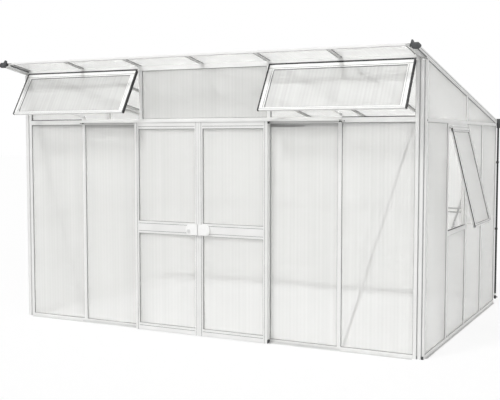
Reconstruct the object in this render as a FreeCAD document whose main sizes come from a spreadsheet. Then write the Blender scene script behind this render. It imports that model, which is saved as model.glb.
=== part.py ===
import FreeCAD, Part
import os
import re
import Sketcher

# Lean-to style greenhouse with a monopitch roof: aluminium bars, twin-wall panes, double sliding door,
# two top-hung windows under the roof's front edge and one in the right side wall.
# Millimetres. +X runs to the right, the front faces -Y, +Z is up. The origin lies on the ground at the
# centre of the four anchor holes. The windows stand open and the doors are shut.

SIZES = {
    # Plan: bay widths, and the corner profile's reach beyond the outermost bay line
    "front_module": 623,
    "side_module": 654,
    "corner_front": 67,
    "corner_side": 31,
    # Heights of the front wall from the ground up, and the rear eave above the wall bays
    "wall_height": 1821,
    "beam_height": 46,
    "clerestory_height": 419,
    "top_beam_height": 39.3,
    "eave_rise": 32.6,
    "side_beam_height": 26,
    "rear_beam_height": 40,
    "mid_rail_height": 945,
    # Glazing bar and pane
    "sheet": 3,
    "bar_width": 32,
    "cap_depth": 6,
    "web": 3,
    "flange_thick": 2,
    "bar_depth": 40,
    "foot_width": 16,
    "foot_thick": 3,
    "pane_thick": 6,
    "pane_play": 0.25,
    "pane_edge_gap": 3,
    "pane_end_gap": 0.5,
    # Base sill and its anchor holes
    "sill_height": 31,
    "sill_shelf": 18,
    "front_flange": 30,
    "side_flange": 15,
    "anchor_flange": 40,
    "anchor_bore": 11,
    "anchor_inset": 230,
    # Corner post: notch on the outer corner, nose and groove beside it
    "post_notch_front": 20,
    "post_notch_side": 14,
    "post_nose": 23,
    "post_groove": 13,
    "post_groove_cut": 10,
    "post_wall": 3,
    "post_clear": 1,
    # Roof bar, barge bar along the roof's side edge, edge strip along its front and rear
    "roof_cap": 2.5,
    "roof_flange": 2.5,
    "roof_bar_depth": 30,
    "roof_overhang": 273,
    "rear_overhang": 22,
    "stem_clear": 1,
    "barge_in": 60,
    "barge_lap": 28,
    "barge_depth": 30,
    "barge_lip": 10,
    "barge_lip_thick": 2.5,
    "barge_wall": 2.5,
    "barge_clear": 1,
    "edge_sheet": 2.5,
    "edge_lap": 22,
    # End cap of the barge bar
    "end_cap_length": 25,
    "end_cap_out": 33,
    "end_cap_in": 47,
    "end_cap_drop": 46,
    "end_cap_bevel": 18,
    "fin_height": 21,
    "fin_width": 9,
    "fin_slope": 13.5,
    # Gutter and downpipe
    "gutter_width": 62,
    "gutter_height": 56,
    "gutter_wall": 2.5,
    "gutter_over": 26,
    "gutter_drop": 7,
    "gutter_cap_thick": 3,
    "gutter_cap_lip": 2,
    "gutter_cap_rise": 36,
    "gutter_hood": 2,
    "gutter_hood_lap": 10,
    "pipe_radius": 10,
    "pipe_wall": 2,
    "pipe_out": 8,
    "pipe_standoff": 25,
    "pipe_foot": 92,
    "clip_height": 20,
    "clip_wall": 3,
    "clip_play": 0.2,
    "clip_arm": 10,
    "spout_length": 35,
    "spout_radius": 12,
    "spigot_radius": 5,
    "spigot_length": 12,
    "spigot_collar": 2,
    # Wall braces and bolt heads
    "brace_width": 20,
    "brace_thick": 2,
    "brace_end": 12,
    "brace_rise": 9,
    "brace_foot_shift": 24,
    "brace_top_shift": 15,
    "bolt_radius": 5,
    "bolt_head": 4,
    "bolt_shift": 17,
    "bolt_rise": 12,
    # Door track, rollers and bottom guide
    "track_over": 3,
    "track_rise": 27,
    "track_height": 32,
    "track_reach": 73,
    "track_lip": 15,
    "ledge_gap": 1.9,
    "ledge_lip": 6,
    "ledge_lip_thick": 2.5,
    "roller_radius": 12,
    "roller_width": 9,
    "roller_back": 5.6,
    "roller_clear": 0.3,
    "axle_radius": 3,
    "axle_play": 0.06,
    "axle_head": 1.2,
    "collar_radius": 5,
    "stop_length": 12,
    "stop_height": 12,
    "guide_reach": 20,
    "guide_sheet": 2.5,
    "guide_lip": 13,
    "glide_width": 28,
    "glide_thick": 10,
    "glide_clear": 1,
    "finger_thick": 11.5,
    # Sliding doors
    "door_lap": 21,
    "door_gap": 2,
    "door_standoff": 27,
    "door_depth": 40,
    "door_foot": 6,
    "stile_width": 36,
    "stile_band": 22,
    "stile_over_axle": 9,
    "top_rail_drop": 7,
    "top_rail": 55,
    "top_rail_band": 34,
    "lock_rail_centre": 921,
    "lock_rail": 105,
    "lock_rail_band": 63,
    "bottom_rail": 55,
    "bottom_rail_band": 34,
    "bottom_rail_rise": 5,
    "member_groove": 3,
    "member_groove_cut": 6,
    "member_step": 1.5,
    "member_wall": 2,
    "pane_bite": 8,
    "pane_bite_gap": 1,
    # Door handle and its turning knob
    "handle_length": 111,
    "handle_height": 85,
    "handle_depth": 22,
    "handle_round": 18,
    "knob_radius": 16,
    "knob_depth": 8,
    "knob_inset": 26,
    "knob_drop": 13,
    "knob_clear": 0.3,
    "knob_pin": 4,
    "knob_pin_play": 0.06,
    "knob_pin_length": 12,
    "grip_width": 7,
    "grip_height": 6,
    "grip_inset": 3.2,
    # Top-hung windows: hinge, sash and seal
    "window_angle": 31,
    "side_window_angle": 14,
    "hinge_rise": 8,
    "hook_wall": 2.7,
    "hook_plate": 22,
    "bead_clear": 0.3,
    "bead_radius": 5,
    "bead_neck": 3,
    "sash_top_gap": 16,
    "sash_gap": 1.5,
    "sash_clear": 2,
    "sash_depth": 20,
    "window_inner_gap": 29,
    "window_outer_gap": 24,
    "sash_stile": 42,
    "sash_bottom": 25,
    "sash_band_gap": 14,
    "seal_out": 14,
    "seal_thick": 4,
    # Side window's head and sill, and its narrower sash
    "side_head": 32,
    "side_hinge_drop": 26,
    "side_sill_top": 925,
    "side_sill": 37,
    "side_sill_clear": 16,
    "side_sash_inset": 30,
    "side_sash_stile": 30,
    "side_seal_out": 4,
    "side_seal_depth": 6,
    # Window stay, its bracket on the sash and the peg that guides it
    "pivot_rise": 24,
    "pivot_out": 7,
    "eye_radius": 6,
    "eye_width": 16,
    "cheek_thick": 3,
    "cheek_gap": 0.5,
    "stay_thick": 3,
    "slot_play": 1,
    "slot_start": 8,
    "slot_margin": 6,
    "stay_tail": 14,
    "peg_inset": 19,
    "peg_radius": 3,
    "stay_lift": 13,
    "side_stay_lift": 20,
    "peg_over": 6,
    "peg_knob_radius": 8,
    "peg_knob_height": 9,
}

# Places worked out from the sizes above; later ones use earlier ones
PLACES = {
    "half_width": "3 * front_module + corner_front",
    "half_depth": "2 * side_module + corner_side",
    "slot_width": "pane_thick + 2 * pane_play",
    "pane_outer": "cap_depth + pane_play",
    "pane_side": "web / 2 + pane_edge_gap",
    "slot_back": "cap_depth + slot_width",
    "flange_back": "slot_back + flange_thick",
    "post_reach_front": "corner_front + bar_width / 2",
    "post_reach_side": "corner_side + bar_width / 2",
    "inner_face": "bar_depth + sheet",
    "beam_top": "wall_height + beam_height",
    "beam_web": "wall_height + (beam_height - sheet) / 2",
    "side_web": "wall_height + (side_beam_height - sheet) / 2",
    "roof_skin": "roof_cap + slot_width + roof_flange",
    "top_beam_bottom": "beam_top + clerestory_height",
    "rear_eave": "wall_height + eave_rise",
    "eave_drop": "top_beam_bottom + top_beam_height - rear_eave",
    "roof_pitch": "acos((roof_bar_depth - roof_skin) / sqrt(eave_drop ^ 2 + (2 * half_depth) ^ 2))"
                  " - atan2(2 * half_depth; eave_drop)",
    "roof_fall": "tan(roof_pitch)",
    "top_web": "top_beam_bottom + (top_beam_height - sheet) / 2",
    "front_height": "top_beam_bottom + top_beam_height + roof_skin / cos(roof_pitch)",
    "rear_beam_bottom": "rear_eave - rear_beam_height",
    "rear_web": "rear_beam_bottom + (rear_beam_height - sheet) / 2",
    "barge_total": "barge_depth + barge_lip",
    "rear_post_top": "front_height - barge_total / cos(roof_pitch)"
                     " - 2 * half_depth * roof_fall - post_clear",
    "roof_rear": "(2 * half_depth + rear_overhang) / cos(roof_pitch)",
    "rear_plane": "2 * half_depth / cos(roof_pitch)",
    "barge_end": "half_width - barge_in - barge_lap",
    "gutter_top": "front_height - (roof_skin + edge_sheet) / cos(roof_pitch)"
                  " - (2 * half_depth + rear_overhang) * roof_fall - gutter_drop",
    "gutter_bottom": "gutter_top - gutter_height",
    "pipe_x": "half_width + pipe_out",
    "pipe_y": "half_depth + pipe_standoff",
    "clip_spacing": "2 * (gutter_bottom - pipe_foot) / 5",
    "track_half": "2 * front_module + bar_width / 2 + track_over",
    "track_top": "wall_height + track_rise",
    "track_bottom": "track_top - track_height",
    "ledge_top": "track_bottom + sheet",
    "axle_height": "ledge_top + roller_radius + roller_clear",
    "roller_front": "roller_back + roller_width",
    "ledge_reach": "roller_front + ledge_gap + ledge_lip_thick",
    "door_top": "axle_height + stile_over_axle",
    "door_face": "sheet + door_standoff + door_depth",
    "door_edge": "door_gap / 2 + front_module + door_lap",
    "top_rail_top": "door_top - top_rail_drop",
    "bottom_rail_low": "door_foot + bottom_rail_rise",
    "hinge_height": "top_beam_bottom + hinge_rise",
    "window_length": "hinge_height - track_top - sash_clear",
    "window_in": "front_module + window_inner_gap",
    "window_out": "3 * front_module - window_outer_gap",
    "window_mid": "(window_in + window_out) / 2",
    "hook_radius": "bead_radius + bead_clear + hook_wall",
    "sash_inner": "hook_radius - sash_gap",
    "sash_outer": "sash_inner - sash_depth",
    "side_hinge_height": "wall_height - side_hinge_drop",
    "side_window_length": "side_hinge_height - side_sill_top - side_sill_clear",
    "side_in": "-side_module + side_sash_inset",
    "side_out": "-side_sash_inset",
    "side_mid": "(side_in + side_out) / 2",
    "pivot_depth": "sash_inner + pivot_out",
    "pivot_down": "window_length - pivot_rise",
    "pivot_y": "-sheet - hook_radius + pivot_depth * cos(window_angle) - pivot_down * sin(window_angle)",
    "pivot_z": "hinge_height - pivot_depth * sin(window_angle) - pivot_down * cos(window_angle)",
    "stay_slot": "2 * peg_radius + slot_play",
    "stay_reach": "peg_inset - pivot_y",
    "stay_drop": "pivot_z - beam_top - stay_lift",
    "side_pivot_down": "side_window_length - pivot_rise",
    "side_pivot_y": "-hook_radius + pivot_depth * cos(side_window_angle)"
                    " - side_pivot_down * sin(side_window_angle)",
    "side_pivot_z": "side_hinge_height - pivot_depth * sin(side_window_angle)"
                    " - side_pivot_down * cos(side_window_angle)",
    "side_stay_reach": "peg_inset - side_pivot_y",
    "side_stay_drop": "side_pivot_z - side_sill_top - side_stay_lift",
}

doc = FreeCAD.newDocument("Greenhouse")
V = FreeCAD.Vector


def formula(text, own=""):
    """The text with each size or place led by the name of the sheet that holds it."""
    def with_sheet(match):
        word = match.group()
        if word in SIZES:
            return f"Sizes.{word}"
        if word in PLACES and own != "Places":
            return f"Places.{word}"
        return word
    return re.sub(r"[a-z][a-z0-9_]*", with_sheet, text)


def fill_sheets():
    """One sheet of driving sizes and one of the places that follow from them."""
    sizes = doc.addObject("Spreadsheet::Sheet", "Sizes")
    for row, (alias, size) in enumerate(SIZES.items(), start=1):
        sizes.set(f"A{row}", alias)
        sizes.set(f"B{row}", str(size))
        sizes.setAlias(f"B{row}", alias)
    doc.recompute()
    places = doc.addObject("Spreadsheet::Sheet", "Places")
    for row, (alias, text) in enumerate(PLACES.items(), start=1):
        places.set(f"A{row}", alias)
        places.set(f"B{row}", "=" + formula(text, "Places"))
        places.setAlias(f"B{row}", alias)
    doc.recompute()
    return places


places = fill_sheets()


def value(text):
    """The present value of a formula, to start a sketch near its final shape."""
    return float(places.evalExpression(formula(text)))


def bind(obj, **formulas):
    for name, text in formulas.items():
        obj.setExpression(name.replace("_at_", ".").replace("Base", "Placement.Base"), formula(text))


def put(obj, at, rotation=None):
    """Fix the turn of an object and bind its place to the sheets."""
    obj.Placement = FreeCAD.Placement(V(0, 0, 0), rotation or FreeCAD.Rotation())
    bind(obj, Base_at_x=at[0], Base_at_y=at[1], Base_at_z=at[2])
    return obj


# Turns of an extruded outline: upright, along X, flat panel facing the front, down the roof's slope
UPRIGHT = FreeCAD.Rotation()
ALONG_X = FreeCAD.Rotation(V(0, 1, 0), V(0, 0, 1), V(1, 0, 0), "XYZ")
PANEL = FreeCAD.Rotation(V(1, 0, 0), V(0, 0, 1), V(0, -1, 0), "XYZ")
DOWN_SLOPE = FreeCAD.Rotation(V(1, 0, 0), V(0, 0, -1), V(0, 1, 0), "XYZ")
TURNS = {
    "x": FreeCAD.Rotation(V(0, 1, 0), 90),
    "y": FreeCAD.Rotation(V(1, 0, 0), -90),
    "z": FreeCAD.Rotation(),
}


def draw_loop(sketch, points):
    """A closed polygon whose corners are bound to formulas."""
    first = sketch.GeometryCount
    count = len(points)
    corners = [V(value(across), value(along), 0) for across, along in points]
    for index in range(count):
        sketch.addGeometry(Part.LineSegment(corners[index], corners[(index + 1) % count]), False)
    for index in range(count):
        follower = first + (index + 1) % count
        sketch.addConstraint(Sketcher.Constraint("Coincident", first + index, 2, follower, 1))
    for index, (across, along) in enumerate(points):
        spots = (("DistanceX", across, corners[index].x), ("DistanceY", along, corners[index].y))
        for kind, text, size in spots:
            number = sketch.addConstraint(Sketcher.Constraint(kind, -1, 1, first + index, 1, size))
            sketch.setExpression(f"Constraints[{number}]", formula(text))


def extrusion(name, loops, length, turn=UPRIGHT, at=("0", "0", "0")):
    """A body padded from an outline with any inner loops as hollows."""
    body = doc.addObject("PartDesign::Body", name)
    sketch = body.newObject("Sketcher::SketchObject", name + "_outline")
    ground = [plane for plane in body.Origin.OriginFeatures if plane.Role == "XY_Plane"][0]
    sketch.AttachmentSupport = [(ground, "")]
    sketch.MapMode = "FlatFace"
    for loop in loops:
        draw_loop(sketch, loop)
    pad = body.newObject("PartDesign::Pad", name + "_pad")
    pad.Profile = sketch
    bind(pad, Length=length)
    return put(body, at, turn)


def block(name, across, along, height):
    """A box between a low and a high formula on each axis."""
    box = doc.addObject("Part::Box", name)
    spans = [f"({high}) - ({low})" for low, high in (across, along, height)]
    bind(box, Length=spans[0], Width=spans[1], Height=spans[2])
    return put(box, (across[0], along[0], height[0]))


def rod(name, radius, axis, start, end, centre):
    """A round bar along one axis; the centre gives the two other coordinates in order."""
    bar = doc.addObject("Part::Cylinder", name)
    bind(bar, Radius=radius, Height=f"({end}) - ({start})")
    at = list(centre)
    at.insert("xyz".index(axis), start)
    return put(bar, at, TURNS[axis])


def cut(name, base, *tools):
    """The base with each tool taken away in turn."""
    for number, tool in enumerate(tools, start=1):
        result = doc.addObject("Part::Cut", f"{name}_cut_{number}")
        result.Base = base
        result.Tool = tool
        base = result
    return base


def fuse(name, *pieces):
    result = doc.addObject("Part::MultiFuse", name)
    result.Shapes = list(pieces)
    return result


def placed(name, members, at=("0", "0", "0"), axis=(0, 0, 1), angle="0"):
    """The members together, turned about an axis and moved."""
    group = doc.addObject("Part::Compound", name)
    group.Links = members
    group.Placement = FreeCAD.Placement(V(0, 0, 0), FreeCAD.Rotation(V(*axis), 1))
    bind(group, Base_at_x=at[0], Base_at_y=at[1], Base_at_z=at[2])
    group.setExpression("Placement.Rotation.Angle", formula(angle))
    return group


# Each wall is drawn like the front one: X along it, Y inward from its outer plane, Z up
WALLS = {
    "front": (("0", "-half_depth", "0"), "0"),
    "right": (("half_width", "0", "0"), "90"),
    "rear": (("0", "half_depth", "0"), "180"),
    "left": (("-half_width", "0", "0"), "270"),
}


def on_wall(name, wall, members):
    at, angle = WALLS[wall]
    return placed(f"{name}_{wall}", members, at, (0, 0, 1), angle)


def on_roof(name, members):
    """Roof pieces are drawn flat: Y down the slope from the front wall's plane, Z square to the roof."""
    return placed(name + "_sloped", members, ("0", "-half_depth", "front_height"), (1, 0, 0), "-roof_pitch")


nodes = {}


def node(label, members):
    nodes[label] = placed(label, members)
    nodes[label].Label = label


def mirrored(points, side):
    """An outline on the right (1) or mirrored to the left (-1)."""
    return [(f"{side} * ({across})", along) for across, along in points]


def swapped(points):
    return [(along, across) for across, along in points]


def stepped(steps):
    """Outline of a symmetric profile: each step is a half width and the depths it spans."""
    right = []
    for half, start, end in steps:
        right.append((half, start))
        right.append((half, end))
    left = [(f"-({half})", depth) for half, depth in reversed(right)]
    return right + left


def ring_of(low_across, high_across, low_along, high_along):
    """A rectangle's four corners in order."""
    return [(low_across, low_along), (high_across, low_along),
            (high_across, high_along), (low_across, high_along)]


BAR = stepped([
    ("bar_width / 2", "0", "cap_depth"),
    ("web / 2", "cap_depth", "slot_back"),
    ("bar_width / 2", "slot_back", "flange_back"),
    ("web / 2", "flange_back", "bar_depth - foot_thick"),
    ("foot_width / 2", "bar_depth - foot_thick", "bar_depth"),
])


def beam_outline(height, rise="0"):
    """H-shaped beam on its side; its top may slope by the rise per unit of depth."""
    web_low = f"(({height}) - sheet) / 2"

    def top(depth):
        return f"({height}) + ({depth}) * ({rise})"
    return [
        ("-sheet", "0"), ("0", "0"), ("0", web_low), ("bar_depth", web_low), ("bar_depth", "0"),
        ("inner_face", "0"), ("inner_face", top("inner_face")), ("bar_depth", top("bar_depth")),
        ("bar_depth", f"{web_low} + sheet"), ("0", f"{web_low} + sheet"),
        ("0", top("0")), ("-sheet", top("-sheet")),
    ]


def sill_outline(outer_flange):
    """Channel that the bars stand in, with a flange outside and an anchor flange inside."""
    return [
        (f"-sheet - {outer_flange}", "0"), ("0", "0"), ("0", "sill_shelf - sheet"),
        ("bar_depth", "sill_shelf - sheet"), ("bar_depth", "0"), ("inner_face + anchor_flange", "0"),
        ("inner_face + anchor_flange", "sheet"), ("inner_face", "sheet"), ("inner_face", "sill_height"),
        ("bar_depth", "sill_height"), ("bar_depth", "sill_shelf"), ("0", "sill_shelf"), ("0", "sill_height"),
        ("-sheet", "sill_height"), ("-sheet", "sheet"), (f"-sheet - {outer_flange}", "sheet"),
    ]


def along_wall(name, outline, half, height):
    """A rail of the given half length, centred on its wall."""
    return extrusion(name, [outline], f"2 * ({half})", ALONG_X, (f"-({half})", "0", height))


def base_sills():
    front_half = "half_width - post_reach_front"
    side_half = "half_depth - post_reach_side"
    for wall in ("front", "rear"):
        sill = along_wall(f"{wall}_sill_rail", sill_outline("front_flange"), front_half, "0")
        holes = []
        for side in (-1, 1):
            holes.append(rod(f"{wall}_anchor_{side + 2}", "anchor_bore / 2", "z", "-1", "sheet + 1",
                             (f"{side} * (half_width - anchor_inset)", "inner_face + anchor_flange / 2")))
        node(f"base_sill_{wall}", [on_wall(f"{wall}_sill", wall, [cut(f"{wall}_sill", sill, *holes)])])
    side_sill = along_wall("side_sill_rail", sill_outline("side_flange"), side_half, "0")
    node("base_sills_side", [on_wall("side_sill", wall, [side_sill]) for wall in ("left", "right")])


def post_outline(side_x, side_y):
    """Corner profile seen from above, by distance inward from the two outer planes."""
    half_bar = "bar_width / 2"
    half_web = "web / 2"
    nose_end = "post_notch_front + post_nose"
    groove_end = f"{nose_end} + post_groove"
    corners = [
        (f"corner_front + {half_bar}", "0"), (f"corner_front + {half_bar}", "cap_depth"),
        (f"corner_front + {half_web}", "cap_depth"), (f"corner_front + {half_web}", "slot_back"),
        (f"corner_front + {half_bar}", "slot_back"), (f"corner_front + {half_bar}", "flange_back"),
        (f"corner_front + {half_web}", "flange_back"),
        (f"corner_front + {half_web}", f"corner_side + {half_web}"),
        ("flange_back", f"corner_side + {half_web}"), ("flange_back", f"corner_side + {half_bar}"),
        ("slot_back", f"corner_side + {half_bar}"), ("slot_back", f"corner_side + {half_web}"),
        ("cap_depth", f"corner_side + {half_web}"), ("cap_depth", f"corner_side + {half_bar}"),
        ("0", f"corner_side + {half_bar}"), ("0", "post_notch_side"),
        ("post_notch_front", "post_notch_side"), ("post_notch_front", "0"),
        (nose_end, "0"), (nose_end, "post_groove_cut"), (groove_end, "post_groove_cut"), (groove_end, "0"),
    ]
    hollow = ring_of("post_notch_front + post_wall", f"corner_front + {half_web} - post_wall",
                     "post_groove_cut + post_wall", f"corner_side + {half_web} - post_wall")
    return [[(f"{side_x} * (half_width - ({a}))", f"{side_y} * (half_depth - ({b}))") for a, b in loop]
            for loop in (corners, hollow)]


def corner_posts():
    for label, side_y, top in (("front", -1, "top_beam_bottom"), ("rear", 1, "rear_post_top")):
        posts = [extrusion(f"{label}_post_{side_x + 2}", post_outline(side_x, side_y), top)
                 for side_x in (-1, 1)]
        node(f"corner_posts_{label}", posts)


def bar_copies(name, bar, lines, wall):
    """The same bar stood at several places along a wall."""
    copies = [placed(f"{name}_{number}", [bar], (line, "0", "0"))
              for number, line in enumerate(lines, start=1)]
    return on_wall(name, wall, copies)


def front_lines(*counts):
    return [f"{count} * front_module" for count in counts]


def side_lines(*counts):
    return [f"{count} * side_module" for count in counts]


def wall_bars():
    front_bar = extrusion("front_bar", [BAR], "beam_web - sill_shelf", at=("0", "0", "sill_shelf"))
    upper_bar = extrusion("upper_bar", [BAR], "top_web - beam_web - sheet", at=("0", "0", "beam_web + sheet"))
    node("front_bars", [bar_copies("front_bar", front_bar, front_lines(-2, -1, 1, 2), "front"),
                        bar_copies("clerestory_post", upper_bar, front_lines(-1, 1), "front")])
    side_bar = extrusion("side_bar", [BAR], "side_web - sill_shelf", at=("0", "0", "sill_shelf"))
    gable_top = ("front_height - barge_total / cos(roof_pitch) - (half_depth + bar_width / 2) * roof_fall"
                 " - post_clear")
    gable_bar = extrusion("gable_bar", [BAR], f"{gable_top} - side_web - sheet",
                          at=("0", "0", "side_web + sheet"))
    members = []
    for wall in ("left", "right"):
        members.append(bar_copies(f"side_bar_{wall}", side_bar, side_lines(-1, 0, 1), wall))
        members.append(on_wall(f"gable_bar_{wall}", wall, [gable_bar]))
    node("side_bars", members)
    rear_bar = extrusion("rear_bar", [BAR], "rear_web - sill_shelf", at=("0", "0", "sill_shelf"))
    node("rear_bars", [bar_copies("rear_bar", rear_bar, front_lines(-2, -1, 0, 1, 2), "rear")])


def beams():
    between_posts = "half_width - post_reach_front"
    front_beam = along_wall("front_beam_rail", beam_outline("beam_height"), between_posts, "wall_height")
    node("front_beam", [on_wall("front_beam", "front", [front_beam])])
    top_beam = along_wall("top_beam_rail", beam_outline("top_beam_height", "-roof_fall"),
                          "half_width - barge_in - barge_clear", "top_beam_bottom")
    node("front_top_beam", [on_wall("top_beam", "front", [top_beam])])
    rear_beam = along_wall("rear_beam_rail", beam_outline("rear_beam_height", "roof_fall"), between_posts,
                           "rear_beam_bottom")
    node("rear_eave_beam", [on_wall("rear_beam", "rear", [rear_beam])])
    side_beam = along_wall("side_beam_rail", beam_outline("side_beam_height"), "half_depth - post_reach_side",
                           "wall_height")
    node("side_beams", [on_wall("side_beam", wall, [side_beam]) for wall in ("left", "right")])


# Rail across a bay that joins a lower and an upper pane
MID_RAIL = stepped([
    ("bar_width / 2", "0", "cap_depth"),
    ("web / 2", "cap_depth", "slot_back"),
    ("bar_width / 2", "slot_back", "flange_back"),
])


def bays(wall):
    """Low and high bay lines of a wall, from one corner to the other."""
    module, count = ("front_module", 3) if wall in ("front", "rear") else ("side_module", 2)
    return [(f"{low} * {module}", f"{low + 1} * {module}") for low in range(-count, count)]


def mid_rails():
    members = []
    for wall in ("left", "rear"):
        rails = []
        for number, (low, high) in enumerate(bays(wall), start=1):
            rails.append(extrusion(f"{wall}_mid_rail_{number}", [swapped(MID_RAIL)],
                                   f"({high}) - ({low}) - bar_width", ALONG_X,
                                   (f"{low} + bar_width / 2", "0", "mid_rail_height")))
        members.append(on_wall("mid_rail", wall, rails))
    node("wall_mid_rails", members)


def pane(name, low, high, bottom, top):
    """A pane between two bay lines, set in the bars' slots."""
    across = (f"{low} + pane_side", f"{high} - pane_side")
    height = (f"{bottom} + pane_end_gap", f"{top} - pane_end_gap")
    return block(name, across, ("pane_outer", "pane_outer + pane_thick"), height)


def gable_pane(name, low, high, fall):
    """Pane under the roof's side edge; its top follows the slope."""
    def roof(line):
        depth = "(barge_depth + pane_end_gap) / cos(roof_pitch)"
        return f"front_height - {depth} - (half_depth + {fall} * ({line})) * roof_fall"
    start, end = f"{low} + pane_side", f"{high} - pane_side"
    bottom = "side_web + sheet + pane_end_gap"
    corners = [(start, bottom), (end, bottom), (end, roof(end)), (start, roof(start))]
    return extrusion(name, [corners], "pane_thick", PANEL, ("0", "pane_outer + pane_thick", "0"))


def wall_panes():
    front = [pane(f"front_pane_{number}", low, high, "sill_shelf", "beam_web")
             for number, (low, high) in enumerate(bays("front"), start=1) if number not in (3, 4)]
    node("front_panes", [on_wall("front_panes", "front", front)])
    middle = pane("middle_pane", "-front_module", "front_module", "beam_web + sheet", "top_web")
    node("clerestory_pane", [on_wall("middle_pane", "front", [middle])])
    rail_low, rail_high = "mid_rail_height - web / 2", "mid_rail_height + web / 2"
    tops = {"left": "side_web", "rear": "rear_web"}
    split = {}
    for wall, top in tops.items():
        split[wall] = []
        for number, (low, high) in enumerate(bays(wall), start=1):
            split[wall].append(pane(f"{wall}_pane_low_{number}", low, high, "sill_shelf", rail_low))
            split[wall].append(pane(f"{wall}_pane_high_{number}", low, high, rail_high, top))
    node("rear_panes", [on_wall("rear_panes", "rear", split["rear"])])
    right = []
    for number, (low, high) in enumerate(bays("right"), start=1):
        top = "side_sill_top - side_sill" if number == 2 else "side_web"
        right.append(pane(f"right_pane_{number}", low, high, "sill_shelf", top))
    sides = {"left": (split["left"], -1), "right": (right, 1)}
    members = []
    for wall, (panes, fall) in sides.items():
        panes.append(gable_pane(f"{wall}_gable_1", "-2 * side_module", "0", fall))
        panes.append(gable_pane(f"{wall}_gable_2", "0", "2 * side_module", fall))
        members.append(on_wall("side_panes", wall, panes))
    node("side_panes", members)


ROOF_RAIL = stepped([
    ("bar_width / 2", "0", "roof_cap"),
    ("web / 2", "roof_cap", "roof_cap + slot_width"),
    ("bar_width / 2", "roof_cap + slot_width", "roof_skin"),
])
ROOF_STEM = stepped([
    ("web / 2", "roof_skin", "roof_bar_depth - foot_thick"),
    ("foot_width / 2", "roof_bar_depth - foot_thick", "roof_bar_depth"),
])


def roof_bars():
    """Bars whose upper part runs over the front beam and whose stem starts behind it."""
    front_end = "-roof_overhang + edge_sheet + pane_end_gap"
    rear_end = "roof_rear - edge_sheet - pane_end_gap"
    rail = extrusion("roof_rail", [ROOF_RAIL], f"{rear_end} - ({front_end})", DOWN_SLOPE,
                     ("0", front_end, "0"))
    stem_start = "(inner_face + stem_clear) / cos(roof_pitch) + roof_bar_depth * roof_fall"
    stem = extrusion("roof_stem", [ROOF_STEM], f"rear_plane - ({stem_start})", DOWN_SLOPE,
                     ("0", stem_start, "0"))
    bar = fuse("roof_bar", rail, stem)
    copies = [placed(f"roof_bar_{number}", [bar], (line, "0", "0"))
              for number, line in enumerate(front_lines(-2, -1, 0, 1, 2), start=1)]
    node("roof_bars", [on_roof("roof_bars", copies)])


def barge_outline(side):
    """Hollow edge bar with a slot for the roof pane and two lips over the gable panes."""
    lap = "barge_in + barge_lap"
    inner_lip = "slot_back + barge_lip_thick"
    outer_lip = "cap_depth - barge_lip_thick"
    corners = [
        ("0", "0"), (lap, "0"), (lap, "roof_cap"), ("barge_in", "roof_cap"),
        ("barge_in", "roof_cap + slot_width"), (lap, "roof_cap + slot_width"), (lap, "roof_skin"),
        ("barge_in", "roof_skin"), ("barge_in", "barge_depth"), (inner_lip, "barge_depth"),
        (inner_lip, "barge_total"), ("slot_back", "barge_total"), ("slot_back", "barge_depth"),
        ("cap_depth", "barge_depth"), ("cap_depth", "barge_total"), (outer_lip, "barge_total"),
        (outer_lip, "barge_depth"), ("0", "barge_depth"),
    ]
    hollow = ring_of("barge_wall", "barge_in - barge_wall", "barge_wall", "barge_depth - barge_wall")
    return [[(f"{side} * (half_width - ({a}))", depth) for a, depth in loop] for loop in (corners, hollow)]


def end_cap_outline(side):
    """Moulded cap with a bevelled body and an upright fin on its inner side."""
    corners = [
        ("-end_cap_in", "-end_cap_bevel"), ("-end_cap_in + fin_width", "fin_height"),
        ("-end_cap_in + 2 * fin_width", "fin_height"), ("-end_cap_in + 2 * fin_width + fin_slope", "0"),
        ("end_cap_out - end_cap_bevel", "0"), ("end_cap_out", "-end_cap_bevel"),
        ("end_cap_out", "end_cap_bevel - end_cap_drop"), ("end_cap_out - end_cap_bevel", "-end_cap_drop"),
        ("-end_cap_in + end_cap_bevel", "-end_cap_drop"),
    ]
    return [(f"{side} * (half_width + {a})", height) for a, height in corners]


def roof_edges():
    barges = []
    caps = []
    for side in (-1, 1):
        start = ("0", "-roof_overhang", "0")
        barges.append(extrusion(f"barge_{side + 2}", barge_outline(side), "roof_overhang + rear_plane",
                                DOWN_SLOPE, start))
        caps.append(extrusion(f"end_cap_{side + 2}", [end_cap_outline(side)], "end_cap_length", PANEL, start))
    node("barge_bars", [on_roof("barge_bars", barges)])
    node("barge_caps", [on_roof("barge_caps", caps)])
    strip = [
        ("0", "edge_sheet"), ("edge_lap", "edge_sheet"), ("edge_lap", "0"), ("edge_sheet", "0"),
        ("edge_sheet", "-roof_skin"), ("edge_lap", "-roof_skin"), ("edge_lap", "-roof_skin - edge_sheet"),
        ("0", "-roof_skin - edge_sheet"),
    ]
    front = extrusion("front_strip", [strip], "2 * barge_end", ALONG_X, ("-barge_end", "-roof_overhang", "0"))
    rear = extrusion("rear_strip", [mirrored(strip, -1)], "2 * barge_end", ALONG_X,
                     ("-barge_end", "roof_rear", "0"))
    node("roof_edges", [on_roof("roof_edges", [front, rear])])


def roof_panes():
    edge = "half_width - barge_in - pane_edge_gap"
    lines = [f"{count} * front_module" for count in range(-2, 3)]
    spans = [(f"-({edge})", f"{lines[0]} - pane_side")]
    spans += [(f"{low} + pane_side", f"{high} - pane_side") for low, high in zip(lines, lines[1:])]
    spans.append((f"{lines[-1]} + pane_side", edge))
    along = ("-roof_overhang + edge_sheet + pane_end_gap", "roof_rear - edge_sheet - pane_end_gap")
    height = ("-roof_cap - pane_play - pane_thick", "-roof_cap - pane_play")
    panes = [block(f"roof_pane_{number}", span, along, height) for number, span in enumerate(spans, start=1)]
    node("roof_panes", [on_roof("roof_panes", panes)])


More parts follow.
